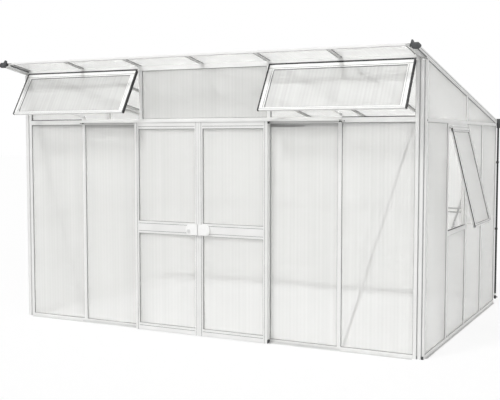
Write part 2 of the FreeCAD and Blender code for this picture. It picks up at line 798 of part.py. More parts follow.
def gutter():
    """Rain gutter under the roof's rear edge: floor with the outlet, two walls, end caps and their hoods."""
    back = "-sheet"
    front = "-sheet - gutter_width"
    half = "half_width + gutter_over"
    length = (f"-({half})", half)
    floor_top = "gutter_bottom + gutter_wall"
    sheet_floor = block("gutter_floor", length, (front, back), ("gutter_bottom", floor_top))
    outlet = rod("outlet", "pipe_radius - pipe_wall", "z", "gutter_bottom - 1", f"{floor_top} + 1",
                 ("-pipe_x", "half_depth - pipe_y"))
    walls = [
        block("gutter_wall_inner", length, (f"{back} - gutter_wall", back), (floor_top, "gutter_top")),
        block("gutter_wall_outer", length, (front, f"{front} + gutter_wall"), (floor_top, "gutter_top")),
    ]
    node("rear_gutter", [on_wall("gutter", "rear", [cut("gutter_outlet", sheet_floor, outlet), *walls])])
    caps = []
    height = ("gutter_bottom - gutter_cap_lip", "gutter_top + gutter_cap_rise")
    for side in (-1, 1):
        outer = f"{side} * ({half} + gutter_cap_thick)"
        low, high = sorted((f"{side} * ({half})", outer), key=value)
        caps.append(block(f"gutter_cap_{side + 2}", (low, high), (f"{front} - gutter_cap_lip", back), height))
        low, high = sorted((f"{side} * (half_width - gutter_hood_lap)", outer), key=value)
        caps.append(block(f"gutter_hood_{side + 2}", (low, high), (back, f"{back} + gutter_hood"), height))
    node("gutter_end_caps", [on_wall("gutter_caps", "rear", caps)])


def tube(name, outer, inner, bottom, top):
    shell = rod(f"{name}_outer", outer, "z", bottom, top, ("pipe_x", "pipe_y"))
    bore = rod(f"{name}_bore", inner, "z", f"{bottom} - 1", f"{top} + 1", ("pipe_x", "pipe_y"))
    return cut(name, shell, bore)


def downpipe():
    """Rain pipe at the rear right corner, held by clips on the post, with a hose spout below."""
    node("downpipe", [tube("pipe", "pipe_radius", "pipe_radius - pipe_wall", "pipe_foot", "gutter_bottom")])
    clip_outer = "pipe_radius + clip_wall"
    clips = []
    for number in range(3):
        bottom = f"pipe_foot - clip_height + {number} * clip_spacing"
        top = f"{bottom} + clip_height"
        shell = rod(f"clip_shell_{number}", clip_outer, "z", bottom, top, ("pipe_x", "pipe_y"))
        arm = block(f"clip_arm_{number}", ("half_width - clip_arm", "half_width"), ("half_depth", "pipe_y"),
                    (bottom, top))
        # The lowest clip is the joint between the pipe and the spout
        inner = "pipe_radius - pipe_wall" if number == 0 else "pipe_radius + clip_play"
        bore = rod(f"clip_bore_{number}", inner, "z", f"{bottom} - 1", f"{top} + 1", ("pipe_x", "pipe_y"))
        clips.append(cut(f"clip_{number}", fuse(f"clip_body_{number}", shell, arm), bore))
    node("downpipe_clips", clips)
    spout_top = "pipe_foot - clip_height"
    spout_bottom = f"{spout_top} - spout_length"
    shell = rod("spout_shell", "spout_radius", "z", spout_bottom, spout_top, ("pipe_x", "pipe_y"))
    axis = ("pipe_y", f"{spout_top} - spout_length / 2")
    spigot_foot = "pipe_x + spout_radius"
    collar = rod("spigot_collar", "spigot_radius + spigot_collar", "x", "pipe_x", spigot_foot, axis)
    spigot = rod("spigot", "spigot_radius", "x", "pipe_x", f"{spigot_foot} + spigot_length", axis)
    bore = rod("spout_bore", "pipe_radius - pipe_wall", "z", f"{spout_bottom} + spigot_radius",
               f"{spout_top} + 1", ("pipe_x", "pipe_y"))
    spigot_bore = rod("spigot_bore", "spigot_radius - pipe_wall", "x", "pipe_x",
                      f"{spigot_foot} + spigot_length + 1", axis)
    node("downpipe_spout", [cut("spout", fuse("spout_body", shell, collar, spigot), bore, spigot_bore)])


def bolt_on(name, across, depth, height, outward):
    """Bolt head on a face of a wall, standing outward (-1) or inward (1)."""
    low, high = (f"{depth} - bolt_head", depth) if outward < 0 else (depth, f"{depth} + bolt_head")
    return rod(name, "bolt_radius", "y", low, high, (across, height))


def brace(name, side, foot, head, head_height):
    """Flat bar from the sill's inner wall up to the beam's, and its two bolt heads."""
    run = f"({head}) - ({foot})"
    foot_height = "sill_height - brace_rise"
    rise = f"({head_height}) - ({foot_height})"
    length = f"sqrt(({run}) ^ 2 + ({rise}) ^ 2)"
    strap = block(f"{name}_strap", ("-brace_end", f"{length} + brace_end"), ("0", "brace_thick"),
                  ("-brace_width / 2", "brace_width / 2"))
    lean = f"atan2({rise}; {side} * ({run}))"
    bar = placed(name, [strap], (f"{side} * ({foot})", "inner_face", foot_height), (0, 1, 0), f"-{lean}")
    face = "inner_face + brace_thick"
    bolts = [bolt_on(f"{name}_bolt_1", f"{side} * ({foot})", face, foot_height, 1),
             bolt_on(f"{name}_bolt_2", f"{side} * ({head})", face, head_height, 1)]
    return bar, bolts


def braces_and_bolts():
    front_foot = "2 * front_module + brace_foot_shift"
    front_head = "half_width - post_reach_front - brace_top_shift"
    side_foot = "side_module + brace_foot_shift"
    side_head = "half_depth - post_reach_side - brace_top_shift"
    plan = [
        ("front", -1, front_foot, front_head, "wall_height + brace_rise"),
        ("front", 1, front_foot, front_head, "wall_height + brace_rise"),
        ("rear", -1, front_foot, front_head, "rear_beam_bottom + brace_rise"),
        ("rear", 1, front_foot, front_head, "rear_beam_bottom + brace_rise"),
        ("right", -1, side_foot, side_head, "wall_height + brace_rise"),
        ("left", 1, side_foot, side_head, "wall_height + brace_rise"),
    ]
    straps = []
    heads = []
    for number, (wall, side, foot, head, head_height) in enumerate(plan, start=1):
        bar, bolts = brace(f"brace_{number}", side, foot, head, head_height)
        straps.append(on_wall(f"brace_{number}", wall, [bar]))
        heads.append(on_wall(f"brace_bolts_{number}", wall, bolts))
    bolt_height = "wall_height + bolt_rise"
    beam_bolts = [bolt_on(f"beam_bolt_{side + 2}", f"{side} * (track_half + bolt_shift)", "-sheet",
                          bolt_height, -1) for side in (-1, 1)]
    heads.append(on_wall("beam_bolts", "front", beam_bolts))
    for wall in ("left", "right"):
        post_bolts = [bolt_on(f"post_bolt_{wall}_{end + 2}", f"{end} * (half_depth - corner_side)", "0",
                              bolt_height, -1) for end in (-1, 1)]
        heads.append(on_wall("post_bolts", wall, post_bolts))
    node("wall_braces", straps)
    node("frame_bolts", heads)


def outward(distance):
    """Depth of a point that stands the given distance in front of the beam's face."""
    return f"-sheet - ({distance})"


def door_tracks():
    """Hanging track with a cover over the doors, end stops, and the low rail that guides their feet."""
    def track(name, corners):
        return along_wall(name, [(outward(w), height) for w, height in corners], "track_half", "0")
    lip_low = "track_top - track_lip"
    cover_low = "track_top - sheet"
    ledge_lip_in = "ledge_reach - ledge_lip_thick"
    hanging = track("top_track_rail", [
        ("0", "track_bottom"), ("ledge_reach", "track_bottom"), ("ledge_reach", "ledge_top + ledge_lip"),
        (ledge_lip_in, "ledge_top + ledge_lip"), (ledge_lip_in, "ledge_top"),
        ("sheet", "ledge_top"), ("sheet", cover_low), ("0", cover_low),
    ])
    cover = track("top_track_cover", [
        ("0", cover_low), ("track_reach - sheet", cover_low), ("track_reach - sheet", lip_low),
        ("track_reach", lip_low), ("track_reach", "track_top"), ("0", "track_top"),
    ])
    node("door_top_track", [on_wall("top_track", "front", [hanging, cover])])
    guide_lip_in = "guide_reach - guide_sheet"
    bottom = track("bottom_track_rail", [
        ("0", "sheet"), ("guide_reach", "sheet"), ("guide_reach", "sheet + guide_lip"),
        (guide_lip_in, "sheet + guide_lip"), (guide_lip_in, "sheet + guide_sheet"),
        ("0", "sheet + guide_sheet"),
    ])
    node("door_bottom_track", [on_wall("bottom_track", "front", [bottom])])
    stops = []
    for side in (-1, 1):
        low, high = sorted((f"{side} * track_half", f"{side} * (track_half - stop_length)"), key=value)
        stops.append(block(f"track_stop_{side + 2}", (low, high), (outward("roller_front"), outward("sheet")),
                           ("ledge_top", "ledge_top + stop_height")))
    node("track_stops", [on_wall("track_stops", "front", stops)])


def member_outline(width, band, depth):
    """Frame member by distance from its outer edge and depth: band, groove, lip, pane slot and hollow."""
    slot_low = f"({depth} - slot_width) / 2"
    slot_high = f"({depth} + slot_width) / 2"
    lip = f"{band} + member_groove"
    outer = [
        ("0", "0"), (band, "0"), (band, "member_groove_cut"), (lip, "member_groove_cut"),
        (lip, "member_step"), (width, "member_step"), (width, slot_low), (f"{width} - pane_bite", slot_low),
        (f"{width} - pane_bite", slot_high), (width, slot_high), (width, depth), ("0", depth),
    ]
    hollow = ring_of("member_wall", f"{width} - pane_bite - member_wall", "member_groove_cut + member_wall",
                     f"{depth} - member_wall")
    return [outer, hollow]


def double_outline(width, band, depth):
    """Frame member between two panes, by distance from its middle."""
    half = f"{width} / 2"
    lip = f"{band} / 2 + member_groove"
    slot_low = f"({depth} - slot_width) / 2"
    slot_high = f"({depth} + slot_width) / 2"
    right = [
        (f"{band} / 2", "0"), (f"{band} / 2", "member_groove_cut"), (lip, "member_groove_cut"),
        (lip, "member_step"), (half, "member_step"), (half, slot_low), (f"{half} - pane_bite", slot_low),
        (f"{half} - pane_bite", slot_high), (half, slot_high), (half, depth),
    ]
    left = [(f"-({across})", along) for across, along in reversed(right)]
    inner = f"{half} - pane_bite - member_wall"
    hollow = ring_of(f"-({inner})", inner, "member_groove_cut + member_wall", f"{depth} - member_wall")
    return [right + left, hollow]


def stile(name, outline, edge, side, face, bottom, top):
    """Upright member whose outer edge lies at the edge and whose pane side faces the given way."""
    loops = [mirrored(loop, side) for loop in outline]
    return extrusion(name, loops, f"({top}) - ({bottom})", UPRIGHT, (edge, face, bottom))


def rail(name, outline, side, low, high, face, height):
    """Level member between two stiles; its pane side faces up (1) or down (-1)."""
    loops = [swapped(mirrored(loop, side)) for loop in outline]
    return extrusion(name, loops, f"({high}) - ({low})", ALONG_X, (low, face, height))


def slotted_pane(name, low, high, bottom, top, face, depth):
    """Pane held in the members' slots on all sides; the formulas give the clear opening."""
    bite = "pane_bite - pane_bite_gap"
    front = f"{face} + ({depth} - pane_thick) / 2"
    return block(name, (f"{low} - ({bite})", f"{high} + {bite}"), (front, f"{front} + pane_thick"),
                 (f"{bottom} - ({bite})", f"{top} + {bite}"))


def door_frame(name, low, high):
    """Two stiles, three rails and two panes of one door leaf."""
    face = "-door_face"
    section = member_outline("stile_width", "stile_band", "door_depth")
    head = member_outline("top_rail", "top_rail_band", "door_depth")
    middle = double_outline("lock_rail", "lock_rail_band", "door_depth")
    foot = member_outline("bottom_rail", "bottom_rail_band", "door_depth")
    inner_low, inner_high = f"{low} + stile_width", f"{high} - stile_width"
    lock_low, lock_high = "lock_rail_centre - lock_rail / 2", "lock_rail_centre + lock_rail / 2"
    frame = [
        stile(f"{name}_stile_1", section, low, 1, face, "door_foot", "door_top"),
        stile(f"{name}_stile_2", section, high, -1, face, "door_foot", "door_top"),
        rail(f"{name}_top_rail", head, -1, inner_low, inner_high, face, "top_rail_top"),
        rail(f"{name}_lock_rail", middle, 1, inner_low, inner_high, face, "lock_rail_centre"),
        rail(f"{name}_bottom_rail", foot, 1, inner_low, inner_high, face, "bottom_rail_low"),
    ]
    panes = [
        slotted_pane(f"{name}_pane_low", inner_low, inner_high, "bottom_rail_low + bottom_rail", lock_low,
                     face, "door_depth"),
        slotted_pane(f"{name}_pane_high", inner_low, inner_high, lock_high, "top_rail_top - top_rail",
                     face, "door_depth"),
    ]
    return frame, panes


def roller_axle(name, across):
    """Stepped axle from the stile's back: collar, journal and retaining head."""
    steps = [
        ("collar_radius", "door_standoff", "roller_front + roller_clear"),
        ("axle_radius", "roller_front + roller_clear", "roller_back - roller_clear"),
        ("collar_radius", "roller_back - roller_clear", "roller_back - roller_clear - axle_head"),
    ]
    pieces = [rod(f"{name}_{number}", radius, "y", outward(near), outward(far), (across, "axle_height"))
              for number, (radius, near, far) in enumerate(steps, start=1)]
    return fuse(name, *pieces)


def roller(name, across):
    span = (outward("roller_front"), outward("roller_back"))
    wheel = rod(f"{name}_wheel", "roller_radius", "y", *span, (across, "axle_height"))
    bore = rod(f"{name}_bore", "axle_radius + axle_play", "y", *span, (across, "axle_height"))
    return cut(name, wheel, bore)


def glide(name, across):
    """Hook at a stile's foot that reaches over the bottom track's lip."""
    arm_low = "sheet + guide_lip + glide_clear"
    finger_near = "guide_reach - guide_sheet - glide_clear"
    finger_far = f"{finger_near} - finger_thick"
    finger_low = "sheet + guide_sheet + glide_clear"
    corners = [
        ("door_standoff", arm_low), ("door_standoff", f"{arm_low} + glide_thick"),
        (finger_far, f"{arm_low} + glide_thick"), (finger_far, finger_low), (finger_near, finger_low),
        (finger_near, arm_low),
    ]
    hook = [(outward(w), height) for w, height in corners]
    return extrusion(name, [hook], "glide_width", ALONG_X, (f"{across} - glide_width / 2", "0", "0"))


def handle_plate(name, side):
    """Moulded plate on a door's meeting stile, rounded at its outer end."""
    start, end = "door_gap / 2", "door_gap / 2 + handle_length"
    low, high = "lock_rail_centre - handle_height / 2", "lock_rail_centre + handle_height / 2"
    outline = mirrored(ring_of(start, end, low, high), side)
    plate = extrusion(name, [outline], "handle_depth", PANEL, ("0", "-door_face", "0"))
    doc.recompute()
    pad = plate.Tip
    outer = side * value(end)
    rounded = []
    for number, edge in enumerate(pad.Shape.Edges, start=1):
        ends = [vertex.Point for vertex in edge.Vertexes]
        if all(abs(point.x - outer) < 0.01 for point in ends) and abs(ends[0].y - ends[1].y) < 0.01:
            rounded.append(f"Edge{number}")
    fillet = plate.newObject("PartDesign::Fillet", name + "_round")
    fillet.Base = (pad, rounded)
    bind(fillet, Radius="handle_round")
    plate.Tip = fillet
    return plate


def knob(centre):
    """Turning knob with a grip bar and a pin in the handle."""
    face = "-door_face - handle_depth - knob_clear"
    disc = rod("knob_disc", "knob_radius", "y", f"{face} - knob_depth", face, centre)
    half_grip = "(knob_radius - grip_inset)"
    grip = block("knob_grip", (f"{centre[0]} - grip_width / 2", f"{centre[0]} + grip_width / 2"),
                 (f"{face} - knob_depth - grip_height", f"{face} - knob_depth"),
                 (f"{centre[1]} - {half_grip}", f"{centre[1]} + {half_grip}"))
    pin = rod("knob_pin", "knob_pin", "y", face, "-door_face - handle_depth + knob_pin_length", centre)
    return fuse("knob", disc, grip, pin)


def doors():
    knob_centre = ("-(door_gap / 2 + handle_length - knob_inset)", "lock_rail_centre - knob_drop")
    for label, side in (("left", -1), ("right", 1)):
        low, high = sorted((f"{side} * door_gap / 2", f"{side} * door_edge"), key=value)
        frame, panes = door_frame(f"{label}_door", low, high)
        node(f"door_{label}_frame", [on_wall(f"{label}_frame", "front", frame)])
        node(f"door_{label}_panes", [on_wall(f"{label}_panes", "front", panes)])
        stiles = {"inner": f"{side} * (door_gap / 2 + stile_width / 2)",
                  "outer": f"{side} * (door_edge - stile_width / 2)"}
        fittings = []
        for place, across in stiles.items():
            fittings.append(glide(f"{label}_{place}_glide", across))
            fittings.append(roller_axle(f"{label}_{place}_axle", across))
            wheel = roller(f"{label}_{place}_roller", across)
            node(f"door_{label}_roller_{place}", [on_wall(f"{label}_{place}_roller", "front", [wheel])])
        node(f"door_{label}_fittings", [on_wall(f"{label}_fittings", "front", fittings)])
        plate = handle_plate(f"{label}_handle", side)
        if side < 0:
            socket = rod("knob_socket", "knob_pin + knob_pin_play", "y", "-door_face - handle_depth - 1",
                         "-door_face - handle_depth + knob_pin_length + knob_clear", knob_centre)
            plate = cut("left_handle_socket", plate, socket)
        node(f"door_{label}_handle", [on_wall(f"{label}_handle", "front", [plate])])
    node("door_lock_knob", [on_wall("knob", "front", [knob(knob_centre)])])


def hinge_hook(name, low, high, face, height):
    """Half-round hook that the sash's bead hangs and turns in, with its plate on the wall."""
    axis_y = f"{face} - hook_radius"
    shell = rod(f"{name}_shell", "hook_radius", "x", low, high, (axis_y, height))
    bore = rod(f"{name}_bore", "hook_radius - hook_wall", "x", f"{low} - 1", f"{high} + 1", (axis_y, height))
    below = block(f"{name}_below", (f"{low} - 1", f"{high} + 1"),
                  (f"{axis_y} - 2 * hook_radius", f"{face} + 1"), (f"{height} - 2 * hook_radius", height))
    plate = block(f"{name}_plate", (low, high), (f"{face} - hook_wall", face),
                  (height, f"{height} + hook_plate"))
    trough = cut(f"{name}_trough", shell, bore, below)
    return fuse(name, trough, plate)


def sash(name, low, high, length, width, seal_out, seal_back):
    """Shut sash hanging from its hinge line, the local origin: frame with stay bracket, pane and side seals."""
    face = "sash_outer"
    band = f"{width} - sash_band_gap"
    top = "-sash_top_gap"
    bottom = f"-({length})"
    inner_low, inner_high = f"{low} + {width}", f"{high} - {width}"
    section = member_outline(width, band, "sash_depth")
    foot = member_outline("sash_bottom", "sash_bottom - sash_band_gap", "sash_depth")
    stile_top, stile_foot = f"{top} - {width}", f"{bottom} + sash_bottom"
    bead = rod(f"{name}_bead", "bead_radius", "x", low, high, ("0", "0"))
    neck = block(f"{name}_neck", (low, high), ("-bead_neck / 2", "bead_neck / 2"), (top, "0"))
    middle = f"(({low}) + ({high})) / 2"
    pivot = f"{bottom} + pivot_rise"
    pieces = []
    for side in (-1, 1):
        near, far = (f"{middle} + {side} * (eye_width / 2 + cheek_gap)",
                     f"{middle} + {side} * (eye_width / 2 + cheek_gap + cheek_thick)")
        span = (near, far) if side > 0 else (far, near)
        pieces.append(block(f"{name}_cheek_{side + 2}", span, ("sash_inner", "pivot_depth + eye_radius"),
                            (f"{pivot} - eye_radius", f"{pivot} + eye_radius")))
    reach = "eye_width / 2 + cheek_gap + cheek_thick"
    pieces.append(rod(f"{name}_pivot", "axle_radius", "x", f"{middle} - ({reach})", f"{middle} + {reach}",
                      ("pivot_depth", pivot)))
    frame = [
        rail(f"{name}_top", section, -1, low, high, face, top),
        rail(f"{name}_foot", foot, 1, low, high, face, bottom),
        stile(f"{name}_stile_1", section, low, 1, face, stile_foot, stile_top),
        stile(f"{name}_stile_2", section, high, -1, face, stile_foot, stile_top),
        fuse(f"{name}_hinge", bead, neck),
        fuse(f"{name}_bracket", *pieces),
    ]
    glass = [slotted_pane(f"{name}_pane", inner_low, inner_high, stile_foot, stile_top, face, "sash_depth")]
    seal = [
        block(f"{name}_seal_1", (f"{low} - {seal_out}", low), (face, seal_back), (bottom, top)),
        block(f"{name}_seal_2", (high, f"{high} + {seal_out}"), (face, seal_back), (bottom, top)),
    ]
    return frame, glass, seal


def stay(name, reach, drop):
    """Slotted bar that turns on the sash's bracket and slides on the peg; its eye is the local origin."""
    peg_at = f"sqrt(({reach}) ^ 2 + ({drop}) ^ 2)"
    slot_end = f"{peg_at} + peg_radius + slot_margin"
    bar = block(f"{name}_bar", ("-eye_width / 2", "eye_width / 2"), ("0", f"{slot_end} + stay_tail"),
                ("-stay_thick / 2", "stay_thick / 2"))
    eye = rod(f"{name}_eye", "eye_radius", "x", "-eye_width / 2", "eye_width / 2", ("0", "0"))
    bore = rod(f"{name}_bore", "axle_radius + axle_play", "x", "-eye_width", "eye_width", ("0", "0"))
    slot = block(f"{name}_slot", ("-stay_slot / 2", "stay_slot / 2"), ("slot_start", slot_end),
                 ("-stay_thick", "stay_thick"))
    return cut(name, fuse(f"{name}_body", bar, eye), bore, slot)


def peg(name, across, foot, top):
    """Stud with a clamping knob that stands in the stay's slot."""
    stud = rod(f"{name}_stud", "peg_radius", "z", foot, top, (across, "peg_inset"))
    head = rod(f"{name}_head", "peg_knob_radius", "z", top, f"{top} + peg_knob_height", (across, "peg_inset"))
    return fuse(name, stud, head)


def window(label, wall, parts, hinge, angle, pivot, lean):
    """Put an open sash and its stay on a wall as nodes of their own."""
    frame, glass, seal, bar = parts
    for kind, members in (("frame", frame), ("pane", glass), ("seal", seal)):
        opened = placed(f"{label}_{kind}_open", members, hinge, (1, 0, 0), f"-{angle}")
        node(f"window_{label}_{kind}", [on_wall(f"{label}_{kind}", wall, [opened])])
    leaning = placed(f"{label}_stay_lean", [bar], pivot, (1, 0, 0), f"-{lean}")
    node(f"window_{label}_stay", [on_wall(f"{label}_stay", wall, [leaning])])


def windows():
    hooks = []
    pegs = []
    beam_face = "-sheet"
    for label, side in (("left", -1), ("right", 1)):
        low, high = sorted((f"{side} * window_in", f"{side} * window_out"), key=value)
        hooks.append(on_wall(f"{label}_hook", "front",
                             [hinge_hook(f"{label}_hinge", low, high, beam_face, "hinge_height")]))
        frame, glass, seal = sash(f"{label}_sash", low, high, "window_length", "sash_stile", "seal_out",
                                  "sash_inner")
        seal.append(block(f"{label}_top_seal", (f"{low} - seal_out", f"{high} + seal_out"),
                          ("sash_outer", "sash_outer + seal_thick"), ("-sash_top_gap", "0")))
        bar = stay(f"{label}_stay", "stay_reach", "stay_drop")
        middle = f"{side} * window_mid"
        hinge = ("0", f"{beam_face} - hook_radius", "hinge_height")
        window(label, "front", (frame, glass, seal, bar), hinge, "window_angle",
               (middle, "pivot_y", "pivot_z"), "atan2(stay_drop; stay_reach)")
        stud = peg(f"{label}_stay_peg", middle, "beam_web + sheet",
                   "beam_top + stay_lift + stay_thick + peg_over")
        pegs.append(on_wall(f"{label}_peg", "front", [stud]))
    hooks.append(on_wall("side_hook", "right",
                         [hinge_hook("side_hinge", "side_in", "side_out", "0", "side_hinge_height")]))
    parts = sash("side_sash", "side_in", "side_out", "side_window_length", "side_sash_stile", "side_seal_out",
                 "sash_outer + side_seal_depth")
    bar = stay("side_stay", "side_stay_reach", "side_stay_drop")
    window("side", "right", (*parts, bar), ("0", "-hook_radius", "side_hinge_height"), "side_window_angle",
           ("side_mid", "side_pivot_y", "side_pivot_z"), "atan2(side_stay_drop; side_stay_reach)")
    shut_stay = "side_hinge_height - side_pivot_down"
    pegs.append(on_wall("side_peg", "right", [
        peg("side_stay_peg", "side_mid", "side_sill_top", f"{shut_stay} + stay_thick + peg_over")]))
    node("window_hinge_rails", hooks)
    node("stay_pegs", pegs)


def side_window_surround():
    """Hollow head and sill rails between two bars of the right wall."""
    members = []
    for name, bottom, top in (("head", "wall_height - side_head", "wall_height"),
                              ("sill", "side_sill_top - side_sill", "side_sill_top")):
        outer = ring_of("0", "bar_depth", "0", f"({top}) - ({bottom})")
        hollow = ring_of("sheet", "bar_depth - sheet", "sheet", f"({top}) - ({bottom}) - sheet")
        members.append(extrusion(f"side_window_{name}", [outer, hollow], "side_module - bar_width", ALONG_X,
                                 ("-side_module + bar_width / 2", "0", bottom)))
    node("side_window_surround", [on_wall("surround", "right", members)])


def check_and_export():
    """Stop on any failed object or bad shape, then write one file per sub-part."""
    doc.recompute()
    for obj in doc.Objects:
        if "Invalid" in obj.State or "Error" in obj.State:
            raise RuntimeError(f"{obj.Name} failed: {obj.State}")
    for label, sub_part in nodes.items():
        if sub_part.Shape.isNull() or not sub_part.Shape.isValid() or not sub_part.Shape.Solids:
            raise RuntimeError(f"{label} has no valid solid")
    os.makedirs("parts", exist_ok=True)
    for label, sub_part in nodes.items():
        sub_part.Shape.exportStep(f"parts/{label}.step")
    print(len(nodes), "nodes,", sum(len(sub_part.Shape.Solids) for sub_part in nodes.values()), "solids")


base_sills()
corner_posts()
wall_bars()
beams()
mid_rails()
wall_panes()
roof_bars()
roof_edges()
roof_panes()
gutter()
downpipe()
braces_and_bolts()
door_tracks()
doors()
windows()
side_window_surround()
check_and_export()
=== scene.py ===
import math
import bmesh
import bpy
from mathutils import Matrix, Vector


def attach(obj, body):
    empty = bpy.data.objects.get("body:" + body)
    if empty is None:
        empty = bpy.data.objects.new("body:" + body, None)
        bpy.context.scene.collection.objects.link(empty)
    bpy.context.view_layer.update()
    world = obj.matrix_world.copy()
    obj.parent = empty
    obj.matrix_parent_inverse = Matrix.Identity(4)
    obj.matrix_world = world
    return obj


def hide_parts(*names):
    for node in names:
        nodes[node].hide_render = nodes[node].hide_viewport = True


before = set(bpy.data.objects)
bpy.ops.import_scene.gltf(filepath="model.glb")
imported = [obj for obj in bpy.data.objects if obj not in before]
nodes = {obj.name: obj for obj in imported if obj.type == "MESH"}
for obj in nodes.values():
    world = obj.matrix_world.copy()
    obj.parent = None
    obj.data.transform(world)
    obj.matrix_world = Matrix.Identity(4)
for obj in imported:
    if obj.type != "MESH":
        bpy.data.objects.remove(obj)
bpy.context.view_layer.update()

# Greenhouse in row-frame metres: +X right, front towards -Y, +Z up, ground at z = 0.
scene = bpy.context.scene

# Camera of the photograph, fitted to its straight edges
EYE = (3.7304, -7.8683, 1.6958)
YAW = 0.4652
PITCH = -0.0699
FOCAL_PX = 880.22
IMAGE_WIDTH = 500
SENSOR = 36.0
FAR_CLIP = 200

# Light: a soft key from the upper front, a broad low fill from the front right, and an even pale surround
KEY_TRAVEL = (0.27, 0.55, -0.79)
KEY_STRENGTH = 1.55
KEY_SPREAD = 12.0
FILL_TRAVEL = (-0.75, 0.65, -0.1)
FILL_STRENGTH = 1.25
FILL_SPREAD = 70.0
SUN_DISTANCE = 8
SURROUND = 0.49

# Floor: what it throws back at the object, and the paint and share of glow that the eye sees
FLOOR_REACH = 60
FLOOR_DROP = 0.0005
FLOOR_BOUNCE = 0.72
FLOOR_PAINT = 0.97
FLOOR_GLOW = 0.85

# Sizes of the frame that the trim is fitted to
HALF_WIDTH = 1.936
HALF_DEPTH = 1.339
FRONT_BAY = 0.623
SIDE_BAY = 0.654
HALF_BAR = 0.016
SILL_TOP = 0.031
WALL_TOP = 1.821
BEAM_TOP = 1.867
TOP_BEAM = 2.286
MID_RAIL = 0.945
REAR_BEAM = 1.8136
ROOF_FRONT = 2.33696
ROOF_PITCH = math.radians(9.6)
BARGE_DEPTH = 0.040
PANE_OUTER = 0.00625
SIDE_SILL_LOW = 0.888
SIDE_SILL_TOP = 0.925
TRACK_HALF = 1.265
BEAM_SHEET = 0.003
PANE_THICK = 0.006
POST_WIDTH = 0.084
POST_DEPTH = 0.048
POST_EDGE = HALF_WIDTH - POST_WIDTH
SIDE_POST_EDGE = HALF_DEPTH - POST_DEPTH
DOOR_GAP = 0.001
DOOR_EDGE = 0.645
DOOR_STILE = 0.036
CLEARANCE = 0.0005

# Distance between the flutes of a pane, and between the streaks of its tint
FLUTE = 0.0105
STREAK = 3 * FLUTE

# Corners of a mesh that are closer than this are one corner
WELD = 1e-6


def add_camera():
    """Pinhole camera where the photograph was taken."""
    data = bpy.data.cameras.new("photo_camera")
    data.sensor_fit = "HORIZONTAL"
    data.sensor_width = SENSOR
    data.lens = FOCAL_PX * SENSOR / IMAGE_WIDTH
    data.clip_end = FAR_CLIP
    camera = bpy.data.objects.new("photo_camera", data)
    camera.location = EYE
    camera.rotation_euler = (math.pi / 2 + PITCH, 0, YAW)
    scene.collection.objects.link(camera)
    scene.camera = camera


def add_sun(name, travel, strength, spread):
    """Sun lamp by the way its light travels, its strength and its spread in degrees."""
    data = bpy.data.lights.new(name, "SUN")
    data.energy = strength
    data.angle = math.radians(spread)
    sun = bpy.data.objects.new(name, data)
    sun.rotation_mode = "QUATERNION"
    sun.rotation_quaternion = Vector(travel).to_track_quat("-Z", "Y")
    sun.location = -SUN_DISTANCE * Vector(travel)
    scene.collection.objects.link(sun)


def feed(tree, target, value):
    """Give a node's input a number or another node's output."""
    if isinstance(value, bpy.types.NodeSocket):
        tree.links.new(value, target)
    else:
        target.default_value = value


def calculate(tree, operation, first, second):
    """Result of a maths node on two numbers or outputs."""
    step = tree.nodes.new("ShaderNodeMath")
    step.operation = operation
    feed(tree, step.inputs[0], first)
    feed(tree, step.inputs[1], second)
    return step.outputs[0]


def blend(tree, first, second, share):
    """Mix of two shaders; the share is the second one's."""
    mix = tree.nodes.new("ShaderNodeMixShader")
    feed(tree, mix.inputs[0], share)
    feed(tree, mix.inputs[1], first)
    feed(tree, mix.inputs[2], second)
    return mix.outputs[0]


def seen_rays(tree):
    """1 for rays that show the surround to the eye: straight, in a reflection or through a pane."""
    rays = tree.nodes.new("ShaderNodeLightPath").outputs
    reflected = calculate(tree, "MAXIMUM", rays["Is Camera Ray"], rays["Is Glossy Ray"])
    return calculate(tree, "MAXIMUM", reflected, rays["Is Transmission Ray"])


def white_background(tree, strength):
    """Output of a white background of a given strength."""
    background = tree.nodes.new("ShaderNodeBackground")
    background.inputs["Color"].default_value = (1, 1, 1, 1)
    background.inputs["Strength"].default_value = strength
    return background.outputs[0]


def add_surround():
    """Even surround that is white to the eye and dimmer as a light."""
    world = bpy.data.worlds.new("studio")
    scene.world = world
    world.use_nodes = True
    tree = world.node_tree
    tree.nodes.clear()
    out = tree.nodes.new("ShaderNodeOutputWorld")
    light = white_background(tree, SURROUND)
    white = white_background(tree, 1)
    feed(tree, out.inputs["Surface"], blend(tree, light, white, seen_rays(tree)))


def matt_paint(tree, grey):
    """Output of a matt paint in one tone of grey."""
    paint = tree.nodes.new("ShaderNodeBsdfDiffuse")
    paint.inputs["Color"].default_value = (grey, grey, grey, 1)
    return paint.outputs[0]


def add_floor():
    """Pale floor that reads as white to the eye and keeps a soft shadow."""
    mesh = bpy.data.meshes.new("floor")
    corners = [(FLOOR_REACH * x, FLOOR_REACH * y, 0) for x, y in ((-1, -1), (1, -1), (1, 1), (-1, 1))]
    mesh.from_pydata(corners, [], [(0, 1, 2, 3)])
    floor = bpy.data.objects.new("floor", mesh)
    floor.location = (0, 0, -FLOOR_DROP)
    scene.collection.objects.link(floor)
    finish = bpy.data.materials.new("studio_floor")
    finish.use_nodes = True
    tree = finish.node_tree
    tree.nodes.clear()
    out = tree.nodes.new("ShaderNodeOutputMaterial")
    glow = tree.nodes.new("ShaderNodeEmission")
    glow.inputs["Strength"].default_value = 1
    look = blend(tree, matt_paint(tree, FLOOR_PAINT), glow.outputs[0], FLOOR_GLOW)
    surface = blend(tree, matt_paint(tree, FLOOR_BOUNCE), look, seen_rays(tree))
    feed(tree, out.inputs["Surface"], surface)
    mesh.materials.append(finish)


